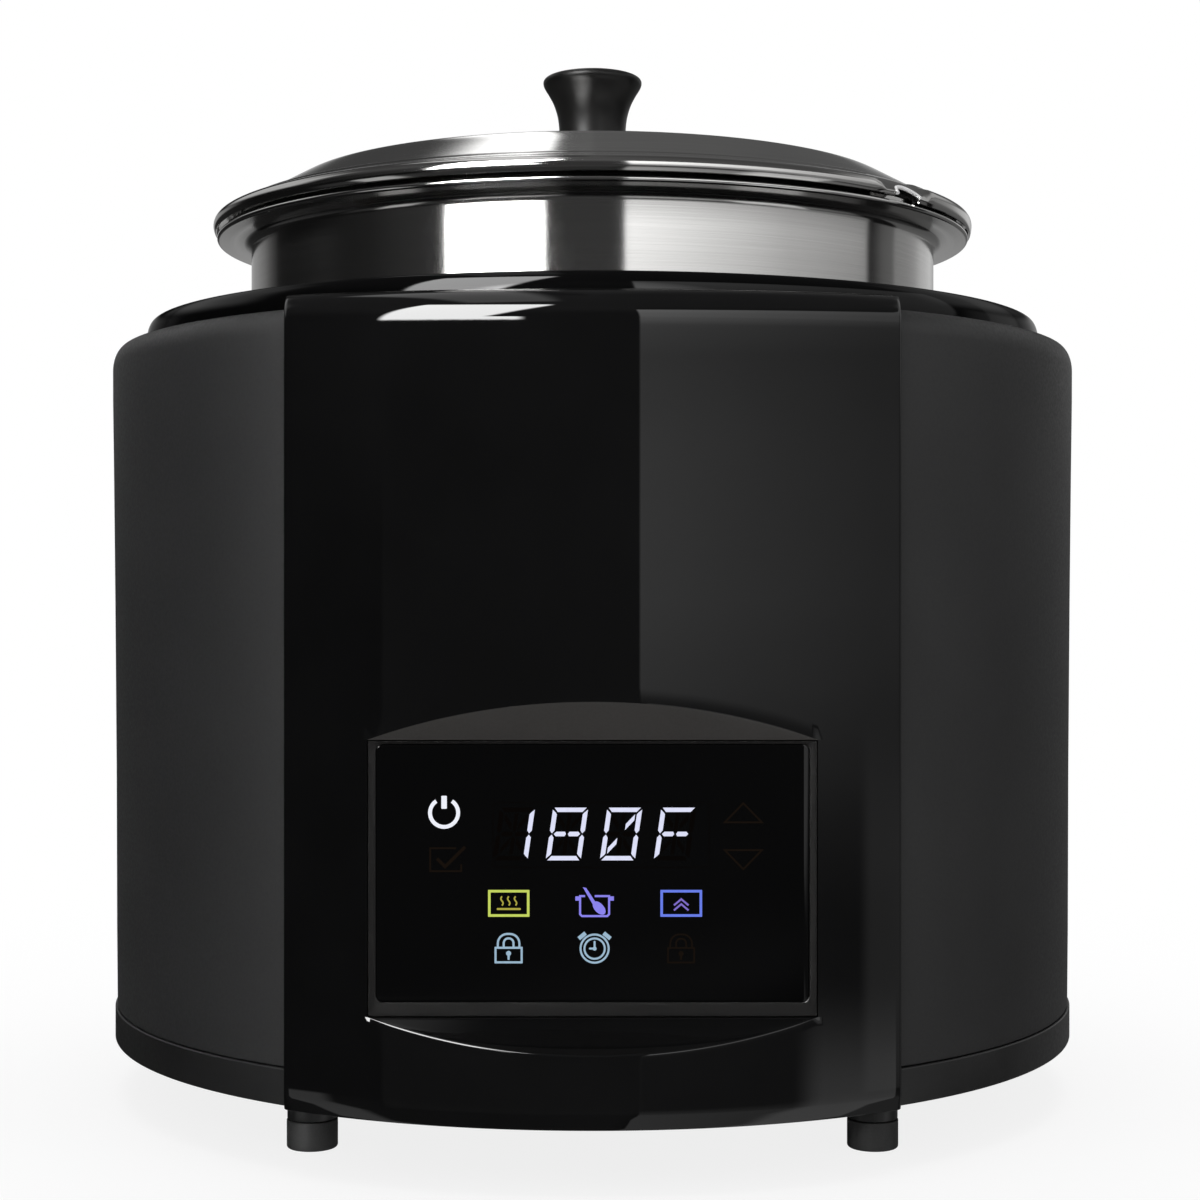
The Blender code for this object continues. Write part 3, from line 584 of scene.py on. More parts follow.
def metal(name, base, sheen, stretch, metallic=1.0, slot=None):
    """Plain metal; stretch is how fine its lines are along x, y and z."""
    surface = Surface(name, base, sheen[0], metal=metallic, slot=slot)
    line = surface.noise(at=surface.stretched(*stretch), detail=4.0, rough=0.7)
    surface.shade(line, times(base, 0.85), base)
    spots = surface.noise(scale=80.0, detail=3.0, rough=0.6)
    surface.roughen(spots, *sheen)
    surface.bump(line, strength=0.08, distance=0.00004)
    return surface


def circuit_board():
    surface = Surface("circuit_board", (0.015, 0.10, 0.045), 0.38)
    inputs = {
        "Vector": surface.stretched(90, 90, 90),
        "Color1": (0.010, 0.085, 0.035, 1),
        "Color2": (0.014, 0.11, 0.050, 1),
        "Mortar": (0.10, 0.20, 0.07, 1),
        "Scale": 1.0,
        "Mortar Size": 0.03,
    }
    brick = surface.add("TexBrick", inputs)
    surface.set(Base_Color=brick.outputs["Color"])
    surface.bump(brick.outputs["Fac"], strength=0.2, distance=0.00005)
    surface.roughen(surface.noise(scale=300.0), low=0.32, high=0.5)
    return surface


def insulation():
    surface = Surface("insulation_fibre", (0.75, 0.73, 0.68), 0.95)
    layers = surface.stretched(1.0, 1.0, 3.0)
    fibre = surface.noise(at=layers, scale=420.0, detail=6.0, rough=0.75, distort=1.5)
    surface.shade(fibre, dark=(0.60, 0.57, 0.50), light=(0.80, 0.79, 0.75))
    surface.bump(fibre, strength=0.8, distance=0.0006)
    return surface


def mica():
    surface = Surface("mica_sheet", (0.60, 0.56, 0.48), 0.42, slot="mica")
    flakes = surface.add("TexVoronoi", {"Vector": surface.place, "Scale": 260.0})
    flake = flakes.outputs["Distance"]
    surface.set(Base_Color=surface.mix(flake, (0.66, 0.62, 0.53), (0.46, 0.41, 0.33)))
    surface.bump(flake, strength=0.25, distance=0.0001)
    return surface


def winding():
    surface = Surface("copper_winding", (0.72, 0.33, 0.15), 0.32, metal=0.9)
    inputs = {"Vector": surface.place, "Scale": 420.0, "Distortion": 1.5}
    wave = surface.add("TexWave", inputs, wave_type="BANDS", bands_direction="DIAGONAL")
    turns = wave.outputs["Fac"]
    surface.set(Base_Color=surface.mix(turns, (0.48, 0.18, 0.07), (0.80, 0.40, 0.20)))
    surface.bump(turns, strength=0.5, distance=0.0003)
    return surface


def lit(name, colour, power=1.0):
    """Glow of a display symbol, with a faint grain; on unlit symbols the glow is painted light standing
    in for room light on them.
    """
    surface = Surface(name, (0.0, 0.0, 0.0), 0.25, slot="display_glass")
    grain = surface.remap(surface.noise(scale=900.0, detail=2.0, rough=0.5), MID, UNIT)
    glow = surface.mix(grain, times(colour, 0.93), colour)
    surface.set(Emission_Color=glow, Emission_Strength=power, Specular_IOR_Level=0.0)
    return surface


SHELL_PAINT = powder_coat()
SATIN = satin_black()
GLOSS = gloss_black("gloss_black", base=(0.0035, 0.0035, 0.0036), rough=0.010)
DECK_GLOSS = deck_lacquer()
# satin for the pocket ceiling; its pale brown-grey colour is a painted reflection of the table below
POCKET_SATIN_PAINTED_REFLECTION = moulded(
    "pocket_satin_painted_reflection", (0.034, 0.0318, 0.0298), rough=0.55, scale=900.0, depth=0.00004, lift=1.15
)
DISPLAY_BLACK = gloss_black(
    "display_black_glass", base=(0.0008, 0.0008, 0.0009), rough=0.02, slot="display_glass"
)
BEZEL_SATIN = bezel_satin()
POT_STEEL = brushed_steel(
    "brushed_steel_pot",
    base=(0.62, 0.615, 0.605),
    sheen=(0.105, 0.155),
    aniso=0.9,
    height_streaks=2600.0,
    radius_streaks=2600.0,
    tint=0.10,
)
LID_STEEL = brushed_steel(
    "brushed_steel_lid",
    base=(0.56, 0.555, 0.545),
    sheen=(0.080, 0.125),
    aniso=0.75,
    height_streaks=1800.0,
    radius_streaks=1900.0,
    tint=0.14,
)
ZINC = metal(
    "zinc_plated_steel",
    (0.62, 0.62, 0.62),
    sheen=(0.24, 0.36),
    stretch=(300, 300, 300),
    slot="fastener_steel",
)
# near-white colour with little metal: a painted highlight along the ladle notch edge
NOTCH_EDGE_PAINTED_HIGHLIGHT = metal(
    "notch_edge_painted_highlight",
    (0.92, 0.92, 0.92),
    sheen=(0.26, 0.34),
    stretch=(200, 200, 200),
    metallic=0.25,
    slot="brushed_steel",
)
ALUMINIUM = metal(
    "aluminium_extruded",
    (0.62, 0.63, 0.64),
    sheen=(0.28, 0.42),
    stretch=(60, 900, 60),
    slot="aluminium",
)
PHENOLIC = phenolic()
RUBBER = rubber("rubber_black", (0.010, 0.010, 0.010), rough=0.62, slot="rubber_black")
SILICONE = rubber("silicone_grey", (0.08, 0.08, 0.085), rough=0.7)
PLASTIC = moulded("black_plastic", (0.014, 0.014, 0.015), rough=0.46, slot="black_plastic")
PALE = moulded("pale_plastic", (0.48, 0.48, 0.47), rough=0.5)
FERRITE = moulded("ferrite_grey", (0.055, 0.055, 0.060), rough=0.55, scale=500.0, depth=0.0002)
BOARD = circuit_board()
FIBRE = insulation()
MICA = mica()
COPPER = winding()

LIT_WHITE = lit("lit_white", (0.90, 0.92, 1.0))
LIT_DIGIT = lit("lit_digit", (0.78, 0.80, 1.0), power=0.98)
LIT_YELLOW = lit("lit_yellow_green", (0.60, 0.72, 0.13), power=0.95)
LIT_YELLOW_DIM = lit("lit_yellow_dim", (0.58, 0.52, 0.08), power=0.75)
LIT_VIOLET = lit("lit_violet", (0.27, 0.24, 0.88))
LIT_VIOLET_DIM = lit("lit_violet_dim", (0.28, 0.20, 0.75), power=0.8)
LIT_BLUE = lit("lit_blue", (0.15, 0.22, 0.85))
LIT_PALE_BLUE = lit("lit_pale_blue", (0.36, 0.52, 0.66), power=0.95)
# unlit symbols and segments glow faintly: painted light standing in for room light falling on them
UNLIT_SYMBOL_PAINTED_LIGHT = lit("unlit_symbol_painted_light", (0.0088, 0.0058, 0.0040))
UNLIT_SEGMENT_PAINTED_LIGHT = lit("unlit_segment_painted_light", (0.0026, 0.0019, 0.0016))


# ======================================================================
# housing: shell, skirt, deck, base pan
# ======================================================================
def wrap(name, profile, finish, replaces=None, body="base", sharp=32.0):
    """(r, z) profile swept round the back, its two ends flat against the panel opening."""
    rows = []
    for k in range(261):
        t = k / 260
        row = []
        for r, z in profile:
            start = -pi / 2 + asin(GAP_HALF / r)
            a = start + (2 * pi - 2 * (start + pi / 2)) * t
            row.append((r * cos(a), r * sin(a), z))
        rows.append(row)
    return build(name, *loft(rows), finish, replaces, body, sharp)


def side_shell():
    thickness = 1.2
    foot_radius, foot_z = 179.3, SKIRT_HI[2] + 0.35
    shoulder_z, shoulder_across, shoulder_up = 265.8, 4.8, 8.5
    shoulder_top = shoulder_z + shoulder_up
    outer = [
        (foot_radius, foot_z),
        (foot_radius + 0.22, 60.0),
        (179.7, 120.0),
        (180.15, 180.0),
        (180.6, 225.0),
        (SHELL_RADIUS - 0.02, 255.0),
    ]
    degrees = [90 * k / 16 for k in range(17)]
    outer += quarter(SHELL_RADIUS, shoulder_z, -shoulder_across, shoulder_up, degrees)
    outer += [
        (174.0, shoulder_top + 0.05),
        (171.5, shoulder_top + 0.1),
        (DECK_RADIUS + 0.9, shoulder_top + 0.12),
    ]
    inner = offset_left(outer, thickness)
    rim_r, rim_z = outer[-1]
    profile = (
        [(foot_radius - 0.25, foot_z - 0.12), (foot_radius - 0.02, foot_z + 0.15)]
        + outer[1:]
        + [(rim_r - 0.22, rim_z - 0.1), (rim_r - 0.32, rim_z - 0.45), (rim_r - 0.2, rim_z - 1.0)]
        + inner[-2:0:-1]
        + [(inner[0][0], foot_z)]
    )
    shell = wrap("side_shell_wrap", profile, SHELL_PAINT, body=None, sharp=30)
    inlet_hole = (-14.2, 14.2, 160, 200, INLET_Z - 10.7, INLET_Z + 10.7)
    grille_x, grille_z = 6, 4  # overlap of the grille round its hole
    grille_hole = (
        GRILLE_LO[0] + grille_x,
        GRILLE_HI[0] - grille_x,
        150,
        200,
        GRILLE_LO[2] + grille_z,
        GRILLE_HI[2] - grille_z,
    )
    cut(shell, box_cutter([inlet_hole, grille_hole]), "side_shell")


def skirt():
    inner = SKIRT_RADIUS - 1.5
    corners = [
        (SKIRT_RADIUS, PAN_Z, 0.7),
        (SKIRT_RADIUS, SKIRT_HI[2], 0.6),
        (inner, SKIRT_HI[2], 0.4),
        (inner, PAN_Z + 3.0),
        (170.0, PAN_Z + 3.0),
        (170.0, PAN_Z + 1.8),
        (inner, PAN_Z + 1.8),
        (inner, PAN_Z, 0.3),
    ]
    wrap("skirt_band", rounded(corners), SATIN, "skirt_ring", sharp=40)


def top_deck():
    edge = quarter(DECK_RADIUS, DECK_Z - 6.9, -2.7, 6.9, range(0, 91, 6))
    # from the mouth of the well round to the inside of the outer edge
    inside = [
        (140.0, DECK_Z + 0.1),
        (136.0, DECK_Z - 0.1, 2.0),
        (133.1, DECK_Z - 1.4, 1.6),
        (132.4, DECK_Z - 4.2),
        (132.4, 276.5, 0.4),
        (134.2, 276.5, 0.4),
        (134.4, DECK_Z - 3.4, 1.0),
        (DECK_RADIUS - 2.0, DECK_Z - 2.9, 1.0),
        (DECK_RADIUS - 1.9, DECK_LO[2], 0.3),
        (DECK_RADIUS - 0.3, DECK_LO[2]),
    ]
    profile = (
        [(DECK_RADIUS, DECK_LO[2] + 0.3)]
        + edge
        + [(160.0, DECK_Z + 0.2), (152.0, DECK_Z + 0.35)]
        + rounded(inside, closed=False)
    )
    lathe("top_deck_ring", profile, 288, DECK_GLOSS, "top_deck", sharp=35)


def base_pan():
    """Round plate with a pressed stiffening ring and a field of vent slots."""
    corners = [
        (0, PAN_Z + 1.5),
        (70.0, PAN_Z + 1.5),
        (72.0, PAN_Z + 2.7, 1.5),
        (78.0, PAN_Z + 2.7, 1.5),
        (80.0, PAN_Z + 1.5, 1.0),
        (PAN_HI[0], PAN_Z + 1.5, 0.4),
        (PAN_HI[0], PAN_Z, 0.4),
        (81.0, PAN_Z, 1.0),
        (79.0, PAN_Z + 1.2, 1.5),
        (71.0, PAN_Z + 1.2, 1.5),
        (69.0, PAN_Z, 1.0),
        (0, PAN_Z),
    ]
    profile = rounded(corners, closed=False)
    pan = lathe("base_pan_plate", profile, 160, SATIN, body=None, sharp=30)
    # slots fill a circle behind the centre, less a margin at their ends
    field_y, field_radius, pitch, half_slot, margin = 100.0, 43.0, 11.0, 2.4, 5.0
    slots = []
    for k in range(-3, 4):
        y = field_y + k * pitch
        half = sqrt(field_radius**2 - (y - field_y) ** 2) - margin
        slots.append((-half, half, y - half_slot, y + half_slot, PAN_Z - 3, PAN_Z + 6))
    cut(pan, box_cutter(slots), "base_pan")


side_shell()
skirt()
top_deck()
base_pan()


# ======================================================================
# front panel with its display pocket: one closed sheet on a grid
# ======================================================================
PANEL_THICK = 2.5
SKIN_BACK_RADIUS = PANEL_RADIUS - PANEL_THICK
EDGE_ROUNDING = 1.3
POCKET_WALL = 2.4  # thickness of the pocket's floor and ceiling
POCKET_BACK = POCKET_Y + 4.7  # how far back the pocket walls reach
RIM_RADIUS = 169.6  # inner rim, clear of the deck
SEAT_RADIUS = 169.5  # least radius of the skin

# bottom lip, (r, z) on the front and on the back
LIP = [
    (PANEL_RADIUS - inset, PANEL_BOTTOM + z)
    for inset, z in (
        (2.6, 0.45), (2.35, 0.1), (1.95, 0), (1.45, 0.25),
        (1.15, 0.8), (0.35, 3.6), (0.12, 4.3), (0, 5.2),
    )
]
LIP_BACK = [
    (SKIN_BACK_RADIUS - inset, PANEL_BOTTOM + z)
    for inset, z in (
        (0.7, 0.9), (0.7, 0.9), (0.7, 0.9), (0.5, 1.4), (0.5, 1.4), (0, 3.8), (0, 4.5), (0, 5.4),
    )
]

# top edge rolling over flat towards the deck, (r, z), ending in a three-point rim
ROLL_Z, ROLL_ACROSS, ROLL_UP = 267.7, 8.8, 9.9
ROLL_TOP = ROLL_Z + ROLL_UP
ROLL_BODY = [(PANEL_RADIUS, z) for z in (258.0, 262.0, 265.5, ROLL_Z)]
ROLL_BODY += quarter(
    PANEL_RADIUS, ROLL_Z, -ROLL_ACROSS, ROLL_UP, [1.5, 3.0, 5.0, *range(8, 91, 4)]
)
ROLL_BODY += [(173.6, ROLL_TOP + 0.05), (171.6, ROLL_TOP + 0.08)]
ROLL = ROLL_BODY + [
    (170.05, ROLL_TOP),
    (169.75, ROLL_TOP - 0.35),
    (RIM_RADIUS, ROLL_TOP - 0.95),
]
ROLL_BACK = offset_left(ROLL_BODY, PANEL_THICK) + [(RIM_RADIUS, ROLL_TOP - 2.4)] * 3
ROLL_BACK = [(max(r, RIM_RADIUS), z) for r, z in ROLL_BACK]

# rows of each stretch of a column, from the bottom up
LOW_ROWS, FILLET_ROWS, SLOPE_ROWS, WINDOW_ROWS, UPPER_ROWS = 10, 5, 3, 8, 26
WINDOW_COLUMNS = 70


def panel_columns():
    """Columns (front x, set back of the front, back x) from +x to -x."""
    back_edge = PANEL_HALF - 2.4
    edge = PANEL_HALF - EDGE_ROUNDING
    wall = POCKET_HALF + 2.2
    side = [(PANEL_HALF, 7.2, back_edge), (PANEL_HALF, 4.0, back_edge)]
    for k in range(6):
        a = radians(90.0 * (1 - k / 5))
        side.append((edge + EDGE_ROUNDING * sin(a), EDGE_ROUNDING * (1 - cos(a)), back_edge))
    for k in range(1, 15):
        x = edge + (wall - edge) * k / 14
        side.append((x, 0.0, wall + (x - wall) * (back_edge - wall) / (edge - wall)))
    side.append((POCKET_HALF + 1.6, 0.0, wall))
    stations = [
        POCKET_HALF - 2 * POCKET_HALF * k / WINDOW_COLUMNS for k in range(WINDOW_COLUMNS + 1)
    ]
    middle = [(x, 0.0, x) for x in stations]
    mirrored = [(-x, set_back, -x_back) for x, set_back, x_back in reversed(side)]
    return side + middle + mirrored, len(side)


def pocket_depth(x):
    if abs(x) > POCKET_HALF + 1e-6:
        return 0.0
    return max(0.0, POCKET_Y + sqrt(PANEL_RADIUS**2 - x * x))


def pocket_fillet(x, z, slope, outward):
    """(y, z) points rounding the skin into the pocket's floor or ceiling, skin first."""
    y = -sqrt(PANEL_RADIUS**2 - x * x)
    radius = min(0.85, pocket_depth(x) * 0.30)
    if radius < 1e-4:
        return [(y, z)] * (FILLET_ROWS + 1)
    along_skin = Vector((0.0, outward))
    along_slope = Vector((1.0, -outward * slope)).normalized()
    angle = corner_angle(along_skin, along_slope)
    reach = radius / tan(angle / 2)
    return corner_arc(
        Vector((y, z)), along_skin, along_slope, angle, reach, radius, FILLET_ROWS
    )


def panel_column(x_front, set_back, x_back, rank, deep):
    """Front and back points of one column, bottom to top.

    rank counts columns from the nearer side; deep columns reach back round the pocket.
    """
    depth = pocket_depth(x_front)
    floor_z = POCKET_LOW - depth * FLOOR_SLOPE
    ceiling_z = POCKET_HIGH + depth * CEILING_SLOPE
    skin_back_y = -sqrt(SKIN_BACK_RADIUS**2 - x_back**2)
    front, back = [], []

    def add(y, z, y_back, z_back, x=x_front):
        front.append((x, y, z))
        back.append((x_back, y_back, z_back))

    def skin(radius, x=x_front):
        return -sqrt(max(radius - set_back, SEAT_RADIUS) ** 2 - x * x)

    def skin_back(radius):
        if rank == 1:
            radius = max(radius + PANEL_THICK - 4.5, SEAT_RADIUS)
        return -sqrt(radius**2 - x_back**2)

    def add_pocket(y, z, stage, edge, outward, slope):
        """Row on the pocket's floor or ceiling; the last stage meets the window."""
        z_back = edge + outward * POCKET_WALL
        if not deep:
            behind = (skin_back_y, edge if stage == SLOPE_ROWS else z_back)
        else:
            flare = outward * max(0.0, POCKET_Y - skin_back_y) * slope
            behind = (
                (skin_back_y, z_back + flare),
                (max(POCKET_Y, skin_back_y), z_back),
                (POCKET_BACK, z_back),
                (POCKET_BACK, edge),
            )[stage]
        add(y if depth > 0 else skin(PANEL_RADIUS), z, *behind)

    for (r, z), (r_back, z_back) in zip(LIP, LIP_BACK):
        add(skin(r), z, skin_back(r_back), z_back)

    # skin below the pocket
    floor = (POCKET_LOW, -1.0, FLOOR_SLOPE)
    fillet = pocket_fillet(x_front, floor_z, FLOOR_SLOPE, -1.0)
    start = LIP[-1][1]
    for k in range(1, LOW_ROWS + 1):
        z = start + (fillet[0][1] - start) * k / LOW_ROWS
        z_back = min(z, start + (floor_z - 3.4 - start) * k / LOW_ROWS)
        add(skin(PANEL_RADIUS), z, skin_back(SKIN_BACK_RADIUS), z_back)

    # pocket floor, window, pocket ceiling
    for y, z in fillet[1:]:
        add_pocket(y, z, 0, *floor)
    y0, z0 = fillet[-1]
    for k in range(1, SLOPE_ROWS + 1):
        t = k / SLOPE_ROWS
        add_pocket(y0 + (POCKET_Y - y0) * t, z0 + (POCKET_LOW - z0) * t, k, *floor)
    for k in range(1, WINDOW_ROWS):
        z = POCKET_LOW + (POCKET_HIGH - POCKET_LOW) * k / WINDOW_ROWS
        y = skin(PANEL_RADIUS) if depth < 0.2 else POCKET_Y
        add(y, z, POCKET_BACK if deep else skin_back_y, z)
    ceiling = (POCKET_HIGH, 1.0, CEILING_SLOPE)
    fillet = pocket_fillet(x_front, ceiling_z, CEILING_SLOPE, 1.0)
    y1, z1 = fillet[-1]
    for k in range(SLOPE_ROWS):
        t = k / SLOPE_ROWS
        y, z = POCKET_Y + (y1 - POCKET_Y) * t, POCKET_HIGH + (z1 - POCKET_HIGH) * t
        add_pocket(y, z, SLOPE_ROWS - k, *ceiling)
    for y, z in fillet[:0:-1]:
        add_pocket(y, z, 0, *ceiling)

    # skin above the pocket
    start, end = fillet[0][1], ROLL[0][1]
    for k in range(UPPER_ROWS):
        z = start + (end - start) * k / UPPER_ROWS
        z_back = max(z, ceiling_z + 3.6 + (end - ceiling_z - 3.6) * k / UPPER_ROWS)
        add(skin(PANEL_RADIUS), z, skin_back(SKIN_BACK_RADIUS), z_back)

    # rolled edge: top corners rounded in plan, and lifted towards the sides
    corner = 1.6
    near_side = ease((abs(x_front) - (PANEL_HALF - 8.0)) / 8.0)
    side_lift = -0.65 + 1.9 * (x_front / PANEL_HALF) ** 2
    end_r, end_z = ROLL_BODY[-1]
    for k, ((r, z), (r_back, z_back)) in enumerate(zip(ROLL, ROLL_BACK)):
        left = min(corner, hypot(end_r - r, end_z - z)) if k < len(ROLL_BODY) else 0.0
        narrowing = corner - sqrt(max(0.0, corner * corner - (corner - left) ** 2))
        x = (abs(x_front) - narrowing * near_side) * (1 if x_front >= 0 else -1)
        lift = ease((z - 256.0) / 10.0) * side_lift
        add(skin(r, x), z + lift, skin_back(r_back), z_back + lift, x)

    if rank == 0:  # the outermost column is the flat edge of the return wall
        back = [(x_back, -sqrt(x * x + y * y - x_back**2), z) for x, y, z in front]
    return front, back


def front_panel():
    columns, window_start = panel_columns()
    last = len(columns) - 1
    window_end = window_start + WINDOW_COLUMNS
    points = []
    for i, column in enumerate(columns):
        rank = min(i, last - i)
        front, back = panel_column(*column, rank, deep=rank >= window_start - 1)
        for pair in zip(front, back):
            points += pair
    rows = len(front)
    window_low = len(LIP) + LOW_ROWS + FILLET_ROWS + SLOPE_ROWS - 1
    window_high = window_low + WINDOW_ROWS
    faces = []

    def front_at(i, j):
        return 2 * (i * rows + j)

    def seam(p, q, flip=False):
        """Face joining front and back between two grid places."""
        a, b = front_at(*p), front_at(*q)
        faces.append((a, b, b + 1, a + 1) if flip else (a, a + 1, b + 1, b))

    for i in range(last):
        for j in range(rows - 1):
            if window_start <= i < window_end and window_low <= j < window_high:
                continue
            a, b = front_at(i, j), front_at(i + 1, j)
            faces.append((a, a + 2, b + 2, b))
            faces.append((a + 1, b + 1, b + 3, a + 3))
    for j in range(rows - 1):
        seam((0, j), (0, j + 1))
        seam((last, j), (last, j + 1), flip=True)
    for i in range(last):
        seam((i, 0), (i + 1, 0), flip=True)
        seam((i, rows - 1), (i + 1, rows - 1))
    for j in range(window_low, window_high):
        seam((window_start, j), (window_start, j + 1), flip=True)
        seam((window_end, j), (window_end, j + 1))
    for i in range(window_start, window_end):
        seam((i, window_low), (i + 1, window_low))
        seam((i, window_high), (i + 1, window_high), flip=True)

    panel = build(
        "front_panel_cover", points, faces, GLOSS, "front_panel", sharp=28, merge=4e-6
    )
    # the pocket's ceiling has a satin finish, coloured paler than the gloss black panel as a painted
    # reflection of the pale table below
    panel.data.materials.append(POCKET_SATIN_PAINTED_REFLECTION.material)
    for face in panel.data.polygons:
        x, y, z = face.center / MM
        inside = -sqrt(PANEL_RADIUS**2 - x**2) + 0.02 < y < POCKET_Y + 0.1
        faces_down = face.normal.z < -0.45
        if abs(x) < POCKET_HALF and inside and faces_down and z > POCKET_HIGH - 0.3:
            face.material_index = 1


front_panel()

# ======================================================================
# display: bezel and glass
# ======================================================================
BEZEL_RECT = (-POCKET_HALF + 0.25, POCKET_HALF - 0.25, POCKET_LOW + 0.25, POCKET_HIGH - 0.25)
GLASS_RECT = (-GLASS_HI[0], GLASS_HI[0], GLASS_LO[2], GLASS_HI[2])


def grown_row(rect, side, bottom, top, radius, y):
    """Rectangle grown at its sides, bottom and top, y behind the pocket's back plane."""
    x0, x1, z0, z1 = rect
    return rect_row(x0 - side, x1 + side, z0 - bottom, z1 + top, radius, POCKET_Y + y, 6)


def bezel():
    """Frame whose face slopes in from the pocket to the rounded glass opening."""
    rows = [  # rectangle, growth at the sides, bottom and top, corner radius, y
        (BEZEL_RECT, 0, 0, 0, 0.25, 4.4),
        (BEZEL_RECT, 0, 0, 0, 0.25, 0.10),
        (BEZEL_RECT, -0.12, -0.12, -0.12, 0.3, -0.15),
        (BEZEL_RECT, -0.5, -0.5, -0.3, 0.5, -0.15),
        (GLASS_RECT, 0.42, 0.42, 0.25, 2.4, 0.13),
        (GLASS_RECT, 0.22, 0.22, 0.16, 2.3, 0.30),
        (GLASS_RECT, 0.12, 0.12, 0.12, 2.25, 0.60),
        (GLASS_RECT, 0.12, 0.12, 0.12, 2.25, 4.4),
    ]
    points, faces = loft([grown_row(*row) for row in rows], ring=True)
    build("display_bezel_frame", points, faces, BEZEL_SATIN, "display_bezel", sharp=25)


def glass():
    corner = 2.1
    sections = ((0.0, 2.1), (0.0, 0.42), (0.1, 0.32), (0.3, 0.28))  # inset, y
    rows = [
        grown_row(GLASS_RECT, -inset, -inset, -inset, corner - inset, y) for inset, y in sections
    ]
    build("display_glass_plate", *loft(rows), DISPLAY_BLACK, "display_glass", sharp=25)


bezel()
glass()

# ======================================================================
# display symbols, a hair proud of the glass
# ======================================================================
SYMBOL_FRONT = POCKET_Y + 0.16
SYMBOL_BACK = POCKET_Y + 0.31


class Symbol:
    """Flat closed prisms in the display plane, gathered into one mesh."""

    def __init__(self, sunk=0.0):
        """sunk sets the front face back towards the glass."""
        self.points, self.faces = [], []
        self.front = SYMBOL_FRONT + sunk

    def prism(self, outline):
        area = 0.0
        for (x0, z0), (x1, z1) in zip(outline, outline[1:] + outline[:1]):
            area += x0 * z1 - x1 * z0
        if area < 0:
            outline = outline[::-1]
        first, n = len(self.points), len(outline)
        for y in (self.front, SYMBOL_BACK):
            self.points += [(x, y, z) for x, z in outline]
        self.faces.append(tuple(first + i for i in range(n)))
        self.faces.append(tuple(first + n + i for i in reversed(range(n))))
        for i in range(n):
            a, b = first + i, first + (i + 1) % n
            self.faces.append((a, a + n, b + n, b))

    def loop(self, outer, inner):
        """Closed band between two outlines of equal length."""
        first, n = len(self.points), len(outer)
        for y in (self.front, SYMBOL_BACK):
            self.points += [(x, y, z) for x, z in outer + inner]
        for i in range(n):
            a, b = first + i, first + (i + 1) % n
            self.faces.append((a, b, b + n, a + n))
            self.faces.append((a + 2 * n, a + 3 * n, b + 3 * n, b + 2 * n))
            self.faces.append((a, a + 2 * n, b + 2 * n, b))
            self.faces.append((a + n, b + n, b + 3 * n, a + 3 * n))

    def ring(self, cx, cz, inner, outer, steps):
        self.loop(circle(cx, cz, outer, steps), circle(cx, cz, inner, steps))

    def sector(self, cx, cz, inner, outer, start, end, steps):
        """Part of a ring, in degrees; steps would make a whole turn."""
        n = int(steps * (end - start) / 360)
        turns = [radians(start + (end - start) * k / n) for k in range(n + 1)]
        outline = [(cx + outer * cos(a), cz + outer * sin(a)) for a in turns]
        outline += [(cx + inner * cos(a), cz + inner * sin(a)) for a in reversed(turns)]
        self.prism(outline)

    def stroke(self, x0, z0, x1, z1, width):
        """Straight line with round ends."""
        along = Vector((x1 - x0, z1 - z0)).normalized()
        half = width / 2
        base = atan2(along.x, -along.y)
        outline = []
        for x, z, start in ((x0, z0, base), (x1, z1, base + pi)):
            turns = [start + pi * k / 6 for k in range(7)]
            outline += [(x + half * cos(a), z + half * sin(a)) for a in turns]
        self.prism(outline)

    def frame(self, x0, x1, z0, z1, width, radius):
        inner = round_rect(x0 + width, x1 - width, z0 + width, z1 - width, max(0.02, radius - width))
        self.loop(round_rect(x0, x1, z0, z1, radius), inner)

    def band(self, line, width, closed=False):
        """Mitred line through points."""
        left, right = [], []
        count = len(line)
        for i in range(count):
            normals = []
            for k in (i - 1, i):  # the stretches before and after this point
                if closed or 0 <= k < count - 1:
                    run = (Vector(line[(k + 1) % count]) - Vector(line[k])).normalized()
                    normals.append(Vector((-run.y, run.x)))
            mitre, stretch = normals[0], 1.0
            if len(normals) == 2:
                mitre = (normals[0] + normals[1]).normalized()
                stretch = 1.0 / max(0.4, mitre.dot(normals[0]))
            point, offset = Vector(line[i]), mitre * (width / 2 * stretch)
            left.append(tuple(point + offset))
            right.append(tuple(point - offset))
        if closed:
            self.loop(left, right)
        else:
            self.prism(left + right[::-1])

    def make(self, name, finish):
        ob = build(name, self.points, self.faces, finish, sharp=30, merge=1e-7)
        ob.visible_glossy = False
        ob.visible_diffuse = False


def power_symbol():
    x, z = -45.9, 115.9
    symbol = Symbol()
    symbol.sector(x, z - 0.35, inner=3.75, outer=4.95, start=90 + 34, end=450 - 34, steps=64)
    symbol.prism(round_rect(x - 0.85, x + 0.85, z + 0.9, z + 4.9, 0.25))
    symbol.make("symbol_power", LIT_WHITE)


power_symbol()

# --- four slanted 14-segment digits ---
SLANT = tan(radians(8.2))
CELL_W, CELL_H, STROKE = 10.85, 16.3, 1.35
CELL_MID = CELL_H / 2
HALF_W = CELL_W / 2
SEGMENT_GAP = 0.32
DIGIT_Z = 100.85


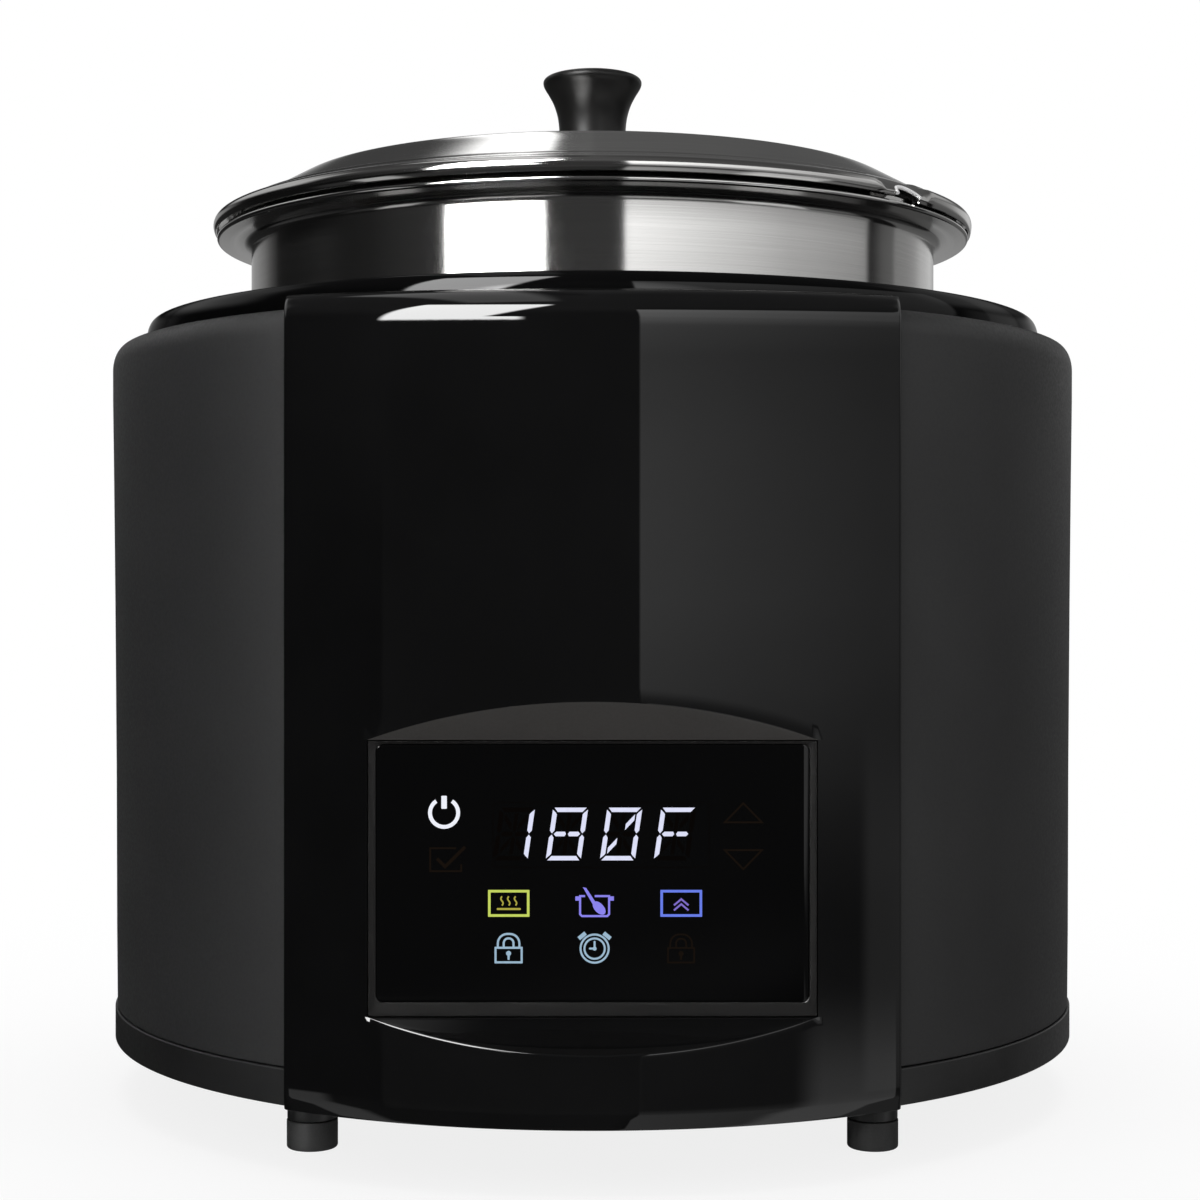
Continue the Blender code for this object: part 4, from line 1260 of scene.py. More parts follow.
def digit_segments():
    """Outline of every segment in an upright cell, by name."""
    w, h, mid, gap, t = CELL_W, CELL_H, CELL_MID, SEGMENT_GAP, STROKE
    end, low = gap + t * 0.11, gap + t * 0.95
    top = [(end, h), (w - end, h), (w - low, h - t), (low, h - t)]
    upper = [
        (0, h - gap - t * 0.22),
        (t * 0.75, h - gap - t * 0.9),
        (t * 1.05, h - gap - t * 1.3),
        (t * 1.05, mid + gap + t * 0.62),
        (t * 0.55, mid + gap * 0.6),
        (0, mid + gap + t * 0.55),
    ]
    middle = [
        (t * 1.0, mid),
        (t * 1.5, mid + t * 0.52),
        (HALF_W - gap * 2.2, mid + t * 0.52),
        (HALF_W - gap * 0.9, mid),
        (HALF_W - gap * 2.2, mid - t * 0.52),
        (t * 1.5, mid - t * 0.52),
    ]
    diagonal = [
        (w - t * 1.45, h - t * 1.5),
        (w - t * 1.45, h - t * 2.9),
        (HALF_W + t * 0.75, mid + t * 0.9),
        (HALF_W + t * 0.75, mid + t * 2.3),
    ]
    stem = [
        (HALF_W - t * 0.42, h - t * 1.35),
        (HALF_W + t * 0.42, h - t * 1.35),
        (HALF_W + t * 0.42, mid + t * 1.0),
        (HALF_W, mid + t * 0.5),
        (HALF_W - t * 0.42, mid + t * 1.0),
    ]
    placed = (  # name, outline, mirrored in x, mirrored in z
        ("top", top, 0, 0), ("bottom", top, 0, 1),
        ("ul", upper, 0, 0), ("ur", upper, 1, 0), ("ll", upper, 0, 1), ("lr", upper, 1, 1),
        ("mid_l", middle, 0, 0), ("mid_r", middle, 1, 0),
        ("diag_ur", diagonal, 0, 0), ("diag_ll", diagonal, 1, 1),
        ("diag_ul", diagonal, 1, 0), ("diag_lr", diagonal, 0, 1),
        ("stem_u", stem, 0, 0), ("stem_l", stem, 0, 1),
    )
    return {
        name: [(w - x if flip_x else x, h - z if flip_z else z) for x, z in outline]
        for name, outline, flip_x, flip_z in placed
    }


# name, left edge, lit segments
READOUT = (
    ("one", -30.95, "ur lr"),
    ("eight", -14.5, "top bottom ul ur ll lr mid_l mid_r"),
    ("zero", 2.25, "top bottom ul ur ll lr diag_ur diag_ll"),
    ("fahrenheit", 18.95, "top ul ll mid_l mid_r"),
)


def digits():
    # unlit segments get the faint glow of painted light
    unlit = Symbol(sunk=0.05)
    segments = digit_segments()
    for name, left, lit_segments in READOUT:
        digit = Symbol()
        for segment, outline in segments.items():
            target = digit if segment in lit_segments.split() else unlit
            target.prism([(left + x + z * SLANT, DIGIT_Z + z) for x, z in outline])
        digit.make("digit_" + name, LIT_DIGIT)
    unlit.make("digit_unlit_segments", UNLIT_SEGMENT_PAINTED_LIGHT)


def dim_controls():
    """Up and down arrows on the right, tick box on the left, window round the digits."""
    # unlit controls and the digit window outline get the faint glow of painted light
    symbol = Symbol(sunk=0.04)
    symbol.band([(40.9, 112.6), (46.65, 118.5), (52.4, 112.6)], 0.55, closed=True)
    symbol.band([(40.9, 104.0), (46.65, 98.1), (52.4, 104.0)], 0.55, closed=True)
    box = [(-40.6, 99.6), (-40.6, 97.5), (-50.2, 97.5), (-50.2, 104.6), (-42.2, 104.6)]
    symbol.band(box, 0.55)
    symbol.band([(-48.1, 101.4), (-45.6, 98.9), (-39.4, 105.0)], 1.0)
    symbol.make("symbol_dim_controls", UNLIT_SYMBOL_PAINTED_LIGHT)
    window = Symbol(sunk=0.06)
    window.frame(-30.9, 36.2, 98.6, 118.8, width=0.22, radius=0.3)
    window.make("digit_window_outline", UNLIT_SEGMENT_PAINTED_LIGHT)


def lock(name, finish, cx, width, height, line, sunk=0.0):
    """Padlock: body frame, two-line shackle, keyhole."""
    symbol = Symbol(sunk)
    z0 = 69.0
    body_top = z0 + height * 0.545
    symbol.frame(cx - width / 2, cx + width / 2, z0, body_top, line, radius=0.15)
    for half, top in ((width * 0.42, z0 + height), (width * 0.21, z0 + height * 0.855)):
        bend = half * 0.80
        bend_z = top - line / 2 - bend
        left, right = cx - half + line / 2, cx + half - line / 2
        path = [(left, body_top)]
        for bend_x, start in ((left + bend, pi), (right - bend, pi / 2)):
            turns = [start - pi / 2 * k / 6 for k in range(7)]
            path += [(bend_x + bend * cos(a), bend_z + bend * sin(a)) for a in turns]
        path.append((right, body_top))
        symbol.band(path, line)
    hole_z = z0 + height * 0.545 * 0.60
    symbol.prism(circle(cx, hole_z, 0.78, 16))
    slot = ((-0.36, -0.5), (0.36, -0.5), (0.30, -2.0), (-0.30, -2.0))
    symbol.prism([(cx + x, hole_z + z) for x, z in slot])
    symbol.make(name, finish)


def alarm_clock():
    symbol = Symbol()
    cx, cz = 0.65, 73.55
    symbol.ring(cx, cz, inner=4.05, outer=4.65, steps=48)
    symbol.ring(cx, cz, inner=2.85, outer=3.45, steps=40)
    for side in (-1, 1):  # bells
        middle = Vector((cx + side * 3.85, cz + 3.95))
        along = Vector((side * 0.77, -0.64)) * 1.35
        across = Vector((0.64 * side, 0.77)) * 0.62
        corners = (
            middle - along - across,
            middle + along - across,
            middle + along + across,
            middle - along + across,
        )
        symbol.prism([tuple(corner) for corner in corners])
    symbol.stroke(cx, cz, cx, cz + 2.1, width=0.62)
    symbol.stroke(cx - 0.013, cz + 0.017, cx - 1.45, cz + 0.017, width=0.60)
    symbol.prism(circle(cx, cz, 0.62, 14))
    symbol.make("symbol_timer", LIT_PALE_BLUE)


def pot_and_ladle():
    symbol = Symbol()
    left, right, bottom, top, line = -4.15, 5.45, 83.3, 90.1, 0.62
    half = line / 2
    wall = [
        (-2.3, top - half),
        (left + half, top - half),
        (left + half, bottom + 0.9),
        (left + 0.9, bottom + half),
        (right - 0.9, bottom + half),
        (right - half, bottom + 0.9),
        (right - half, top - half),
        (0.7, top - half),
    ]
    symbol.band(wall, line)
    for inner, outer in ((left, left - 1.15), (right, right + 1.15)):  # handles
        symbol.prism([(inner, 88.4), (outer, 88.4), (outer, 89.7), (inner, 89.7)])
    symbol.prism([(-3.0, 92.55), (-1.95, 92.3), (1.05, 87.75), (0.15, 87.15)])
    bowl = []
    tilt = radians(-47)
    for k in range(24):
        a = 2 * pi * k / 24
        u, v = 2.5 * cos(a), 1.42 * sin(a)
        x, z = u * cos(tilt) - v * sin(tilt), u * sin(tilt) + v * cos(tilt)
        bowl.append((2.05 + x, 86.1 + z))
    symbol.prism(bowl)
    symbol.make("symbol_pot_ladle", LIT_VIOLET)


def mode_box(name, x0, x1, finish):
    symbol = Symbol()
    symbol.frame(x0, x1, 83.4, 91.7, width=0.78, radius=0.12)
    symbol.make(name, finish)


def hold_waves():
    """Level bar under three small waves."""
    symbol = Symbol()
    symbol.prism(round_rect(-29.6, -22.2, 85.5, 86.1, 0.2))
    bottom, top, sway, pitch = 86.9, 89.7, 0.34, 2.1
    for i in (-1, 0, 1):
        heights = [k / 16 for k in range(17)]
        x = -25.9 + i * pitch
        wave = [(x + sway * sin(2 * pi * t), bottom + (top - bottom) * t) for t in heights]
        symbol.band(wave, 0.45)
    symbol.make("symbol_hold_waves", LIT_YELLOW_DIM)


def boost_arrows():
    symbol = Symbol()
    for up in (0.0, 1.55):
        symbol.band([(25.2, 85.4 + up), (27.45, 87.3 + up), (29.7, 85.4 + up)], 0.55)
    symbol.make("symbol_boost_arrows", LIT_VIOLET_DIM)


digits()
dim_controls()
lock("symbol_lock", LIT_PALE_BLUE, cx=-25.95, width=8.7, height=9.4, line=0.62)
# the dim lock is unlit; its faint glow is painted light
lock("symbol_lock_dim", UNLIT_SYMBOL_PAINTED_LIGHT, cx=27.4, width=8.6, height=9.2, line=0.5, sunk=0.04)
alarm_clock()
pot_and_ladle()
mode_box("symbol_hold_frame", -32.3, -19.5, LIT_YELLOW)
hold_waves()
mode_box("symbol_boost_frame", 21.0, 33.9, LIT_BLUE)
boost_arrows()


# ======================================================================
# pot
# ======================================================================
def pot():
    outer = 130.15
    inner = outer - 1.0
    floor = POT_Z + 1.2
    bead, bead_r, bead_z = 1.05, 142.95 - 1.05, 317.6 - 0.35
    bead_turns = [radians(d) for d in range(-96, 151, 9)]
    bead_line = [(bead_r + bead * cos(a), bead_z + bead * sin(a)) for a in bead_turns]
    # upstand inside the bead, under the lid
    seat = [
        (140.75, 318.25), (140.7, 319.7), (140.45, 320.05),
        (139.85, 320.05), (139.6, 319.7), (139.45, 318.0),
    ]
    outside = [(0, POT_Z), (119.0, POT_Z), (outer, POT_Z, 9.5), (outer, 200.0)]
    inside = [(inner, 280.0), (inner, floor, 8.6), (119.0, floor), (0, floor)]
    profile = (
        rounded(outside, closed=False)
        + [(outer, 280.0), (outer, 305.0)]
        + quarter(outer, 312.4, 3.4, 3.3, range(0, 88, 8))
        + [(136.0, 315.78), (138.6, 315.8)]
        + bead_line
        + seat
        + [(138.4, 317.0), (135.4, 316.85)]
        + quarter(inner, 312.6, 3.9, 4.1, range(84, -1, -10))
        + rounded(inside, closed=False)
    )
    lathe("inset_pot", profile, 256, POT_STEEL, "pot", body="pot", sharp=40)


pot()

# ======================================================================
# lid: rolled lip, crease, riser, dome, ladle notch
# ======================================================================
LID_THICK = 0.9
NOTCH_ANGLE = radians(-41.0)
NOTCH_HALF, NOTCH_HEIGHT, NOTCH_Z = 7.3, 4.3, 319.2
# radii of the plain slope that replaces lip and crease at the notch
SLOPE_OUTER, SLOPE_INNER = 144.4, 132.9

# (r, z) stations of the top side, from the edge inwards
LIP_STATIONS = [
    (143.75, 319.7), (144.12, 320.55), (144.3, 321.5), (144.25, 322.5), (143.9, 323.5),
    (143.1, 324.4), (141.9, 325.05), (140.2, 325.6), (138.6, 326.05), (137.4, 326.6),
    (136.5, 327.25), (135.8, 327.6), (135.1, 327.7),
]
CREASE = [(134.5, 327.55), (134.1, 327.35), (133.7, 327.35), (133.3, 327.6)]
RISER_STATIONS = [
    (132.9, 327.95), (128.0, 330.6), (122.0, 333.9), (117.0, 336.7),
    (114.8, 337.9), (113.0, 338.75), (110.4, 339.35),
]
DOME_STATIONS = [
    (108.0, 339.75), (95.0, 341.5), (78.0, 343.6), (58.0, 345.6),
    (36.0, 347.1), (18.0, 347.8), (3.0, LID_TOP),
]
LID_UPPER = (
    smooth_curve(LIP_STATIONS, 3)
    + CREASE
    + smooth_curve(RISER_STATIONS, 4)
    + smooth_curve(DOME_STATIONS, 5)
)


def at_notch(r, across, z):
    """Point at radius r along the notch direction and across it."""
    x = r * cos(NOTCH_ANGLE) - across * sin(NOTCH_ANGLE)
    return x, r * sin(NOTCH_ANGLE) + across * cos(NOTCH_ANGLE), z


def notch_arch(a):
    """(across, z) on the notch arch."""
    return NOTCH_HALF * cos(a), NOTCH_Z + NOTCH_HEIGHT * sin(a) ** 0.9


def slope_height(t):
    """Height of the plain slope, from its outer edge at 0 to its inner at 1."""
    return 320.3 + t * 7.7 + LID_THICK * sin(pi * t)


def notch_cutter():
    outline = [(-NOTCH_HALF, NOTCH_Z - 3), (NOTCH_HALF, NOTCH_Z - 3)]
    outline += [notch_arch(pi * k / 28) for k in range(29)]
    rows = [[at_notch(r, across, z) for across, z in outline] for r in (124.0, 152.0)]
    return build("notch_cut", *loft(rows), None, body=None)


def lid_warp(r, z, angle, index):
    # near the notch the lip and crease flatten into a plain slope
    distance = abs((angle - NOTCH_ANGLE + pi) % (2 * pi) - pi) * 138.0
    weight = 0.86 * ease((16.0 - distance) / 3.6)
    if SLOPE_INNER < r < 144.6 and weight > 0 and z > 319.9:
        target = slope_height((SLOPE_OUTER - r) / (SLOPE_OUTER - SLOPE_INNER))
        if index > len(LID_UPPER) + 1:
            target -= LID_THICK
        z += (target - z) * weight
    # on the right-hand side the lip reaches down to the pot rim
    azimuth = atan2(cos(angle), -sin(angle)) * 180 / pi
    drop = clamp((azimuth - 47.0) / 6.0) * clamp((172.0 - azimuth) / 6.0)
    if r > 142.0 and z < 321.6:
        z -= 1.05 * drop * min(1.0, (321.6 - z) / 1.6)
    return z


def lid_shell():
    under = offset_left(LID_UPPER, LID_THICK)
    under[0] = (142.85, 319.95)
    profile = (
        [(143.5, 319.55)]
        + LID_UPPER
        + [(3.0, LID_TOP - LID_THICK)]
        + under[-2::-1]
        + [(143.05, 319.6)]
    )
    lid = lathe("lid_shell", profile, 320, LID_STEEL, body=None, sharp=30, warp=lid_warp)
    cut(lid, notch_cutter(), "lid", body="lid")


def notch_edge():
    """Rolled edge that lines the ladle notch, coloured near white as a painted highlight."""
    centres = []
    for k in range(31):
        across, z = notch_arch(pi * (1 - k / 30))
        if z <= 320.0:
            continue
        # find where the plain slope has this height
        low, high = 0.0, 1.0
        for _ in range(30):
            t = (low + high) / 2
            if slope_height(t) < z:
                low = t
            else:
                high = t
        radius = SLOPE_OUTER - t * (SLOPE_OUTER - SLOPE_INNER)
        centres.append(Vector(at_notch(sqrt(radius**2 - across**2), across, z)))
    outward = Vector((cos(NOTCH_ANGLE), sin(NOTCH_ANGLE), 0.4)).normalized()
    rows = []
    for i, centre in enumerate(centres):
        before, after = centres[max(0, i - 1)], centres[min(len(centres) - 1, i + 1)]
        along = (after - before).normalized()
        first = (outward - along * outward.dot(along)).normalized()
        rows.append(wire_ring(centre, first, along.cross(first), 0.72, 8))
    build("lid_notch_edge", *loft(rows), NOTCH_EDGE_PAINTED_HIGHLIGHT, body="lid", sharp=50)


def knob():
    stations = [  # radius, height above the knob's foot
        (12.6, 0.15), (13.25, 0.7), (13.35, 2.0), (13.0, 5.0), (12.75, 9.5), (12.9, 14.5),
        (13.55, 19.0), (14.9, 23.3), (16.8, 27.0), (18.4, 29.6), (18.95, 31.2), (18.75, 32.4),
        (17.6, 33.35), (15.4, 33.95), (11.0, 34.45), (5.5, 34.7),
    ]
    side = [(r, KNOB_Z + z) for r, z in stations] + [(0.0, KNOB_HI[2])]
    foot = [(0.0, KNOB_Z + 0.8), (4.0, KNOB_Z + 0.8), (4.2, KNOB_Z), (11.6, KNOB_Z)]
    profile = foot + smooth_curve(side, 5)
    lathe("lid_knob_turned", profile, 96, PHENOLIC, "lid_knob", body="lid", sharp=40)


def knob_washer():
    low, high = KNOB_Z - 1.0, KNOB_Z - 0.3
    profile = rounded([(2.9, low), (11.0, low, 0.2), (11.0, high, 0.2), (2.9, high)])
    lathe("knob_washer_ring", profile, 64, ZINC, "knob_washer", body="lid")


def knob_screw():
    head, seat, tip = LID_TOP - 4.2, LID_TOP - 1.5, KNOB_Z + 0.4
    corners = [
        (0.0, head), (1.2, head), (1.2, LID_TOP - 3.0), (1.6, head), (4.2, head, 0.6),
        (4.8, seat, 0.3), (2.5, seat), (2.5, tip), (0.0, tip),
    ]
    profile = rounded(corners, closed=False)
    lathe("knob_screw_head", profile, 48, ZINC, "knob_screw", body="lid")


lid_shell()
notch_edge()
knob()
knob_washer()
knob_screw()


# ======================================================================
# well: liner, rest plate, sensor
# ======================================================================
def well_liner():
    corners = [
        (11.0, WELL_Z, 0.3),
        (131.0, WELL_Z, 3.0),
        (134.4, WELL_Z + 3.5, 2.0),
        (134.4, 274.3, 0.8),
        (148.0, 274.3, 0.4),
        (148.0, 275.8, 0.4),
        (133.1, 275.8, 1.2),
        (133.0, WELL_Z + 4.4, 2.4),
        (130.4, WELL_Z + 1.5, 2.0),
        (11.0, WELL_Z + 1.5, 0.4),
    ]
    lathe("well_liner_cup", rounded(corners), 200, PLASTIC, "well_liner")


def rest_plate():
    corners = [(12.0, 101.8, 0.2), (118.0, 101.8, 0.2), (118.0, 103.0, 0.4), (12.0, 103.0, 0.3)]
    lathe("pot_rest_disc", rounded(corners), 160, MICA, "pot_rest_plate")


def sensor_plunger():
    corners = [
        (0, 81.0), (3.0, 81.0, 0.4), (3.0, 100.0, 0.3),
        (6.6, 100.0, 0.3), (6.6, 103.0, 0.7), (0, 103.0),
    ]
    profile = rounded(corners, closed=False)
    node = "sensor_plunger"
    lathe("sensor_plunger_cap", profile, 48, ALUMINIUM, node, body=node)


def probe_spring():
    """Compression spring under the probe cap, given a mesh of its own; nothing here shortens it as the
    cap is pressed.
    """
    turns, radius, wire, foot, length = 5, 5.1, 0.55, 87.0, 12.0
    closing = 0.045  # how much closer the end turns lie
    steps = turns * 32
    rows = []
    for i in range(steps + 1):
        t = i / steps
        a = 2 * pi * turns * t
        z = foot + length * (t - closing * sin(2 * pi * t))
        rise = length * (1 - closing * 2 * pi * cos(2 * pi * t)) / (2 * pi * turns)
        along = Vector((-radius * sin(a), radius * cos(a), rise)).normalized()
        outward = Vector((cos(a), sin(a), 0))
        centre = Vector((radius * cos(a), radius * sin(a), z))
        rows.append(wire_ring(centre, outward, along.cross(outward), wire, 10))
    spring = build("probe_spring", *loft(rows), ZINC, "sensor_spring", sharp=40)
    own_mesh(spring)


well_liner()
rest_plate()
sensor_plunger()
probe_spring()

# ======================================================================
# feet and base screws
# ======================================================================
FOOT_X, FOOT_Y = 93.0, 120.0
BASE_SCREW_RADIUS = 173.3

FOOT_PAD = rounded(
    [(5.2, 0.0, 0.3), (8.45, 0.0, 0.9), (8.45, 9.5, 0.35), (2.9, 9.5), (2.9, 4.4), (5.2, 4.4)]
)
FOOT_SPACER = rounded([(2.9, 9.8), (8.25, 9.8, 0.35), (8.25, 20.1, 0.3), (2.9, 20.1)])
FOOT_SCREW = rounded(
    [
        (0, 3.0), (2.0, 3.0), (2.4, 1.5, 0.2), (4.3, 1.4, 0.5), (4.7, 2.4, 0.5),
        (4.7, 4.1), (2.5, 4.1), (2.5, 27.5, 0.4), (0, 27.5),
    ],
    closed=False,
)
BASE_SCREW = rounded(
    [
        (0, PAN_Z - 1.5), (0.9, PAN_Z - 1.5), (1.2, PAN_Z - 2.4, 0.1), (2.6, PAN_Z - 2.2, 0.5),
        (3.5, PAN_Z - 0.3, 0.2), (1.7, PAN_Z - 0.3), (1.7, PAN_Z + 6.5), (0, PAN_Z + 6.5),
    ],
    closed=False,
)
FOOT_PARTS = (  # CAD part, ending of the new name, profile, segments, finish
    ("foot_pad", "moulded", FOOT_PAD, 56, RUBBER),
    ("foot_spacer", "turned", FOOT_SPACER, 56, SATIN),
    ("foot_screw", "turned", FOOT_SCREW, 40, ZINC),
)

for k in range(1, 5):
    low, high = span(f"foot_pad_{k}")
    x = FOOT_X if low[0] + high[0] > 0 else -FOOT_X
    y = FOOT_Y if low[1] + high[1] > 0 else -FOOT_Y
    for part, ending, profile, segments, finish in FOOT_PARTS:
        node = f"{part}_{k}"
        lathe(f"{node}_{ending}", profile, segments, finish, node, centre=(x, y))

for k, degrees in enumerate((30, 150, 210, 330), start=1):
    x = BASE_SCREW_RADIUS * cos(radians(degrees))
    y = BASE_SCREW_RADIUS * sin(radians(degrees))
    node = f"base_screw_{k}"
    lathe(f"{node}_pan_head", BASE_SCREW, 40, ZINC, node, centre=(x, y))


# ======================================================================
# rear grille and power inlet
# ======================================================================
def rear_grille():
    """Curved plate with rolled edges and two columns of slots."""
    half, low, high = GRILLE_HI[0], GRILLE_LO[2], GRILLE_HI[2]
    outer, inner, edge = 183.2, 180.4, 1.2
    profile = rounded([(inner, low, 0.3), (outer, low, edge), (outer, high, edge), (inner, high, 0.3)])
    rows = []
    for k in range(49):
        x = -half + 2 * half * k / 48
        t = clamp(min(half - x, half + x) / edge)
        drop = edge * (1 - sqrt(1 - (1 - t) ** 2))
        row = []
        for r, z in profile:
            if r > (inner + outer) / 2:
                r -= drop
            row.append((x, sqrt(r * r - x * x), z))
        rows.append(row)
    plate = build("rear_grille_plate", *loft(rows), PLASTIC, body=None, sharp=30)
    slots = []
    for k in range(8):
        z = low + 9.0 + k * 6.0
        for x0, x1 in ((-53, -2.5), (2.5, 53)):
            slots.append((x0, x1, 150, 200, z - 1.7, z + 1.7))
    cut(plate, box_cutter(slots), "rear_grille")


def power_inlet():
    sections = (  # half width, half height, corner radius, y
        (13.5, 10.0, 1.0, 152.0),
        (13.5, 10.0, 1.0, 180.2),
        (18.5, 13.5, 2.5, 180.2),
        (18.5, 13.5, 2.5, 182.2),
        (17.7, 12.7, 2.2, 183.0),
        (14.6, 11.0, 1.6, 183.0),
        (13.9, 10.3, 1.4, 184.4),
        (11.3, 7.8, 1.4, 184.4),
        (11.0, 7.5, 1.2, 184.0),
        (11.0, 7.5, 1.2, 166.0),
    )
    rows = [
        rect_row(-half_x, half_x, INLET_Z - half_z, INLET_Z + half_z, radius, y, 5)
        for half_x, half_z, radius, y in sections
    ]
    build("power_inlet_body", *loft(rows), PLASTIC, "power_inlet", sharp=30)
    half_x, half_z = 1.0, 2.2
    for k, (x, up) in enumerate(((-6.5, -1.5), (6.5, -1.5), (0, 2.5)), start=1):
        z = INLET_Z + up
        rows = []
        for y, size in ((166.3, 1.0), (180.0, 1.0), (181.0, 0.6)):
            wide, tall = half_x * size, half_z * size
            rows.append(rect_row(x - wide, x + wide, z - tall, z + tall, 0.3 * size, y, 3))
        build(f"power_inlet_pin_{k}", *loft(rows), ZINC, sharp=30)


rear_grille()
power_inlet()

# ======================================================================
# finishes of the CAD parts inside
# ======================================================================
INNER_FINISHES = (
    (SILICONE, "deck_gasket"),
    (PALE, "digit_module display_ribbon terminal_block"),
    (BOARD, "display_board power_board"),
    (FIBRE, "insulation_sleeve"),
    (PLASTIC, "coil_former coil_support sensor_guide power_module fan_frame fan_rotor"),
    (COPPER, "induction_coil choke_coil"),
    (FERRITE, "ferrite_bar_1 ferrite_bar_2 ferrite_bar_3 ferrite_bar_4 filter_capacitor"),
    (ZINC, "sensor_spring"),
    (ALUMINIUM, "board_standoff_1 board_standoff_2 board_standoff_3 board_standoff_4 heat_sink"),
)
for finish, nodes in INNER_FINISHES:
    for node in nodes.split():
        for material_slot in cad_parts[node].material_slots:
            material_slot.material = finish.material

# ======================================================================
# studio as seen in reflections
# ======================================================================
scene.view_settings.view_transform = "Standard"
scene.view_settings.look = "None"
scene.view_settings.exposure = 0.0
scene.view_settings.gamma = 1.0

BACKDROP = (1.0, 1.0, 1.0)
AMBIENT = (0.46, 0.46, 0.47)  # what rays other than camera and glossy ones see
ROOM_LEVEL = 0.007  # darkest reflection
DEGREES = 57.29578  # degrees in a radian

world = bpy.data.worlds.new("studio")
scene.world = world
world.use_nodes = True
studio = Nodes(world.node_tree)


def step(value, low, high, falling=False):
    """Smooth 0 to 1 across low..high, or 1 to 0 when falling."""
    target = (1.0, 0.0) if falling else UNIT
    return studio.remap(value, (low, high), target, interpolation_type="SMOOTHSTEP")


def light(*factors, level=None):
    """Product of the factors and the level."""
    if level is not None:
        factors += (level,)
    return reduce(lambda a, b: studio.math("MULTIPLY", a, b), factors)


def band(value, edges, soft):
    """1 between two edges, each softened by its own amount either way."""
    (low, high), (soft_low, soft_high) = edges, soft
    rise = step(value, low - soft_low, low + soft_low)
    return light(rise, step(value, high - soft_high, high + soft_high, falling=True))


def curve(value, *stops):
    """Straight lines through (value, level) stops."""
    low, high = stops[0][0], stops[-1][0]
    ramp = studio.add("ValToRGB", {"Fac": studio.remap(value, (low, high), UNIT)})
    elements = ramp.color_ramp.elements
    while len(elements) < len(stops):
        elements.new(0.5)
    top = max(level for _, level in stops)
    for element, (x, level) in zip(elements, stops):
        element.position = (x - low) / (high - low)
        element.color = (level / top, level / top, level / top, 1)
    return light(ramp.outputs["Color"], level=top)


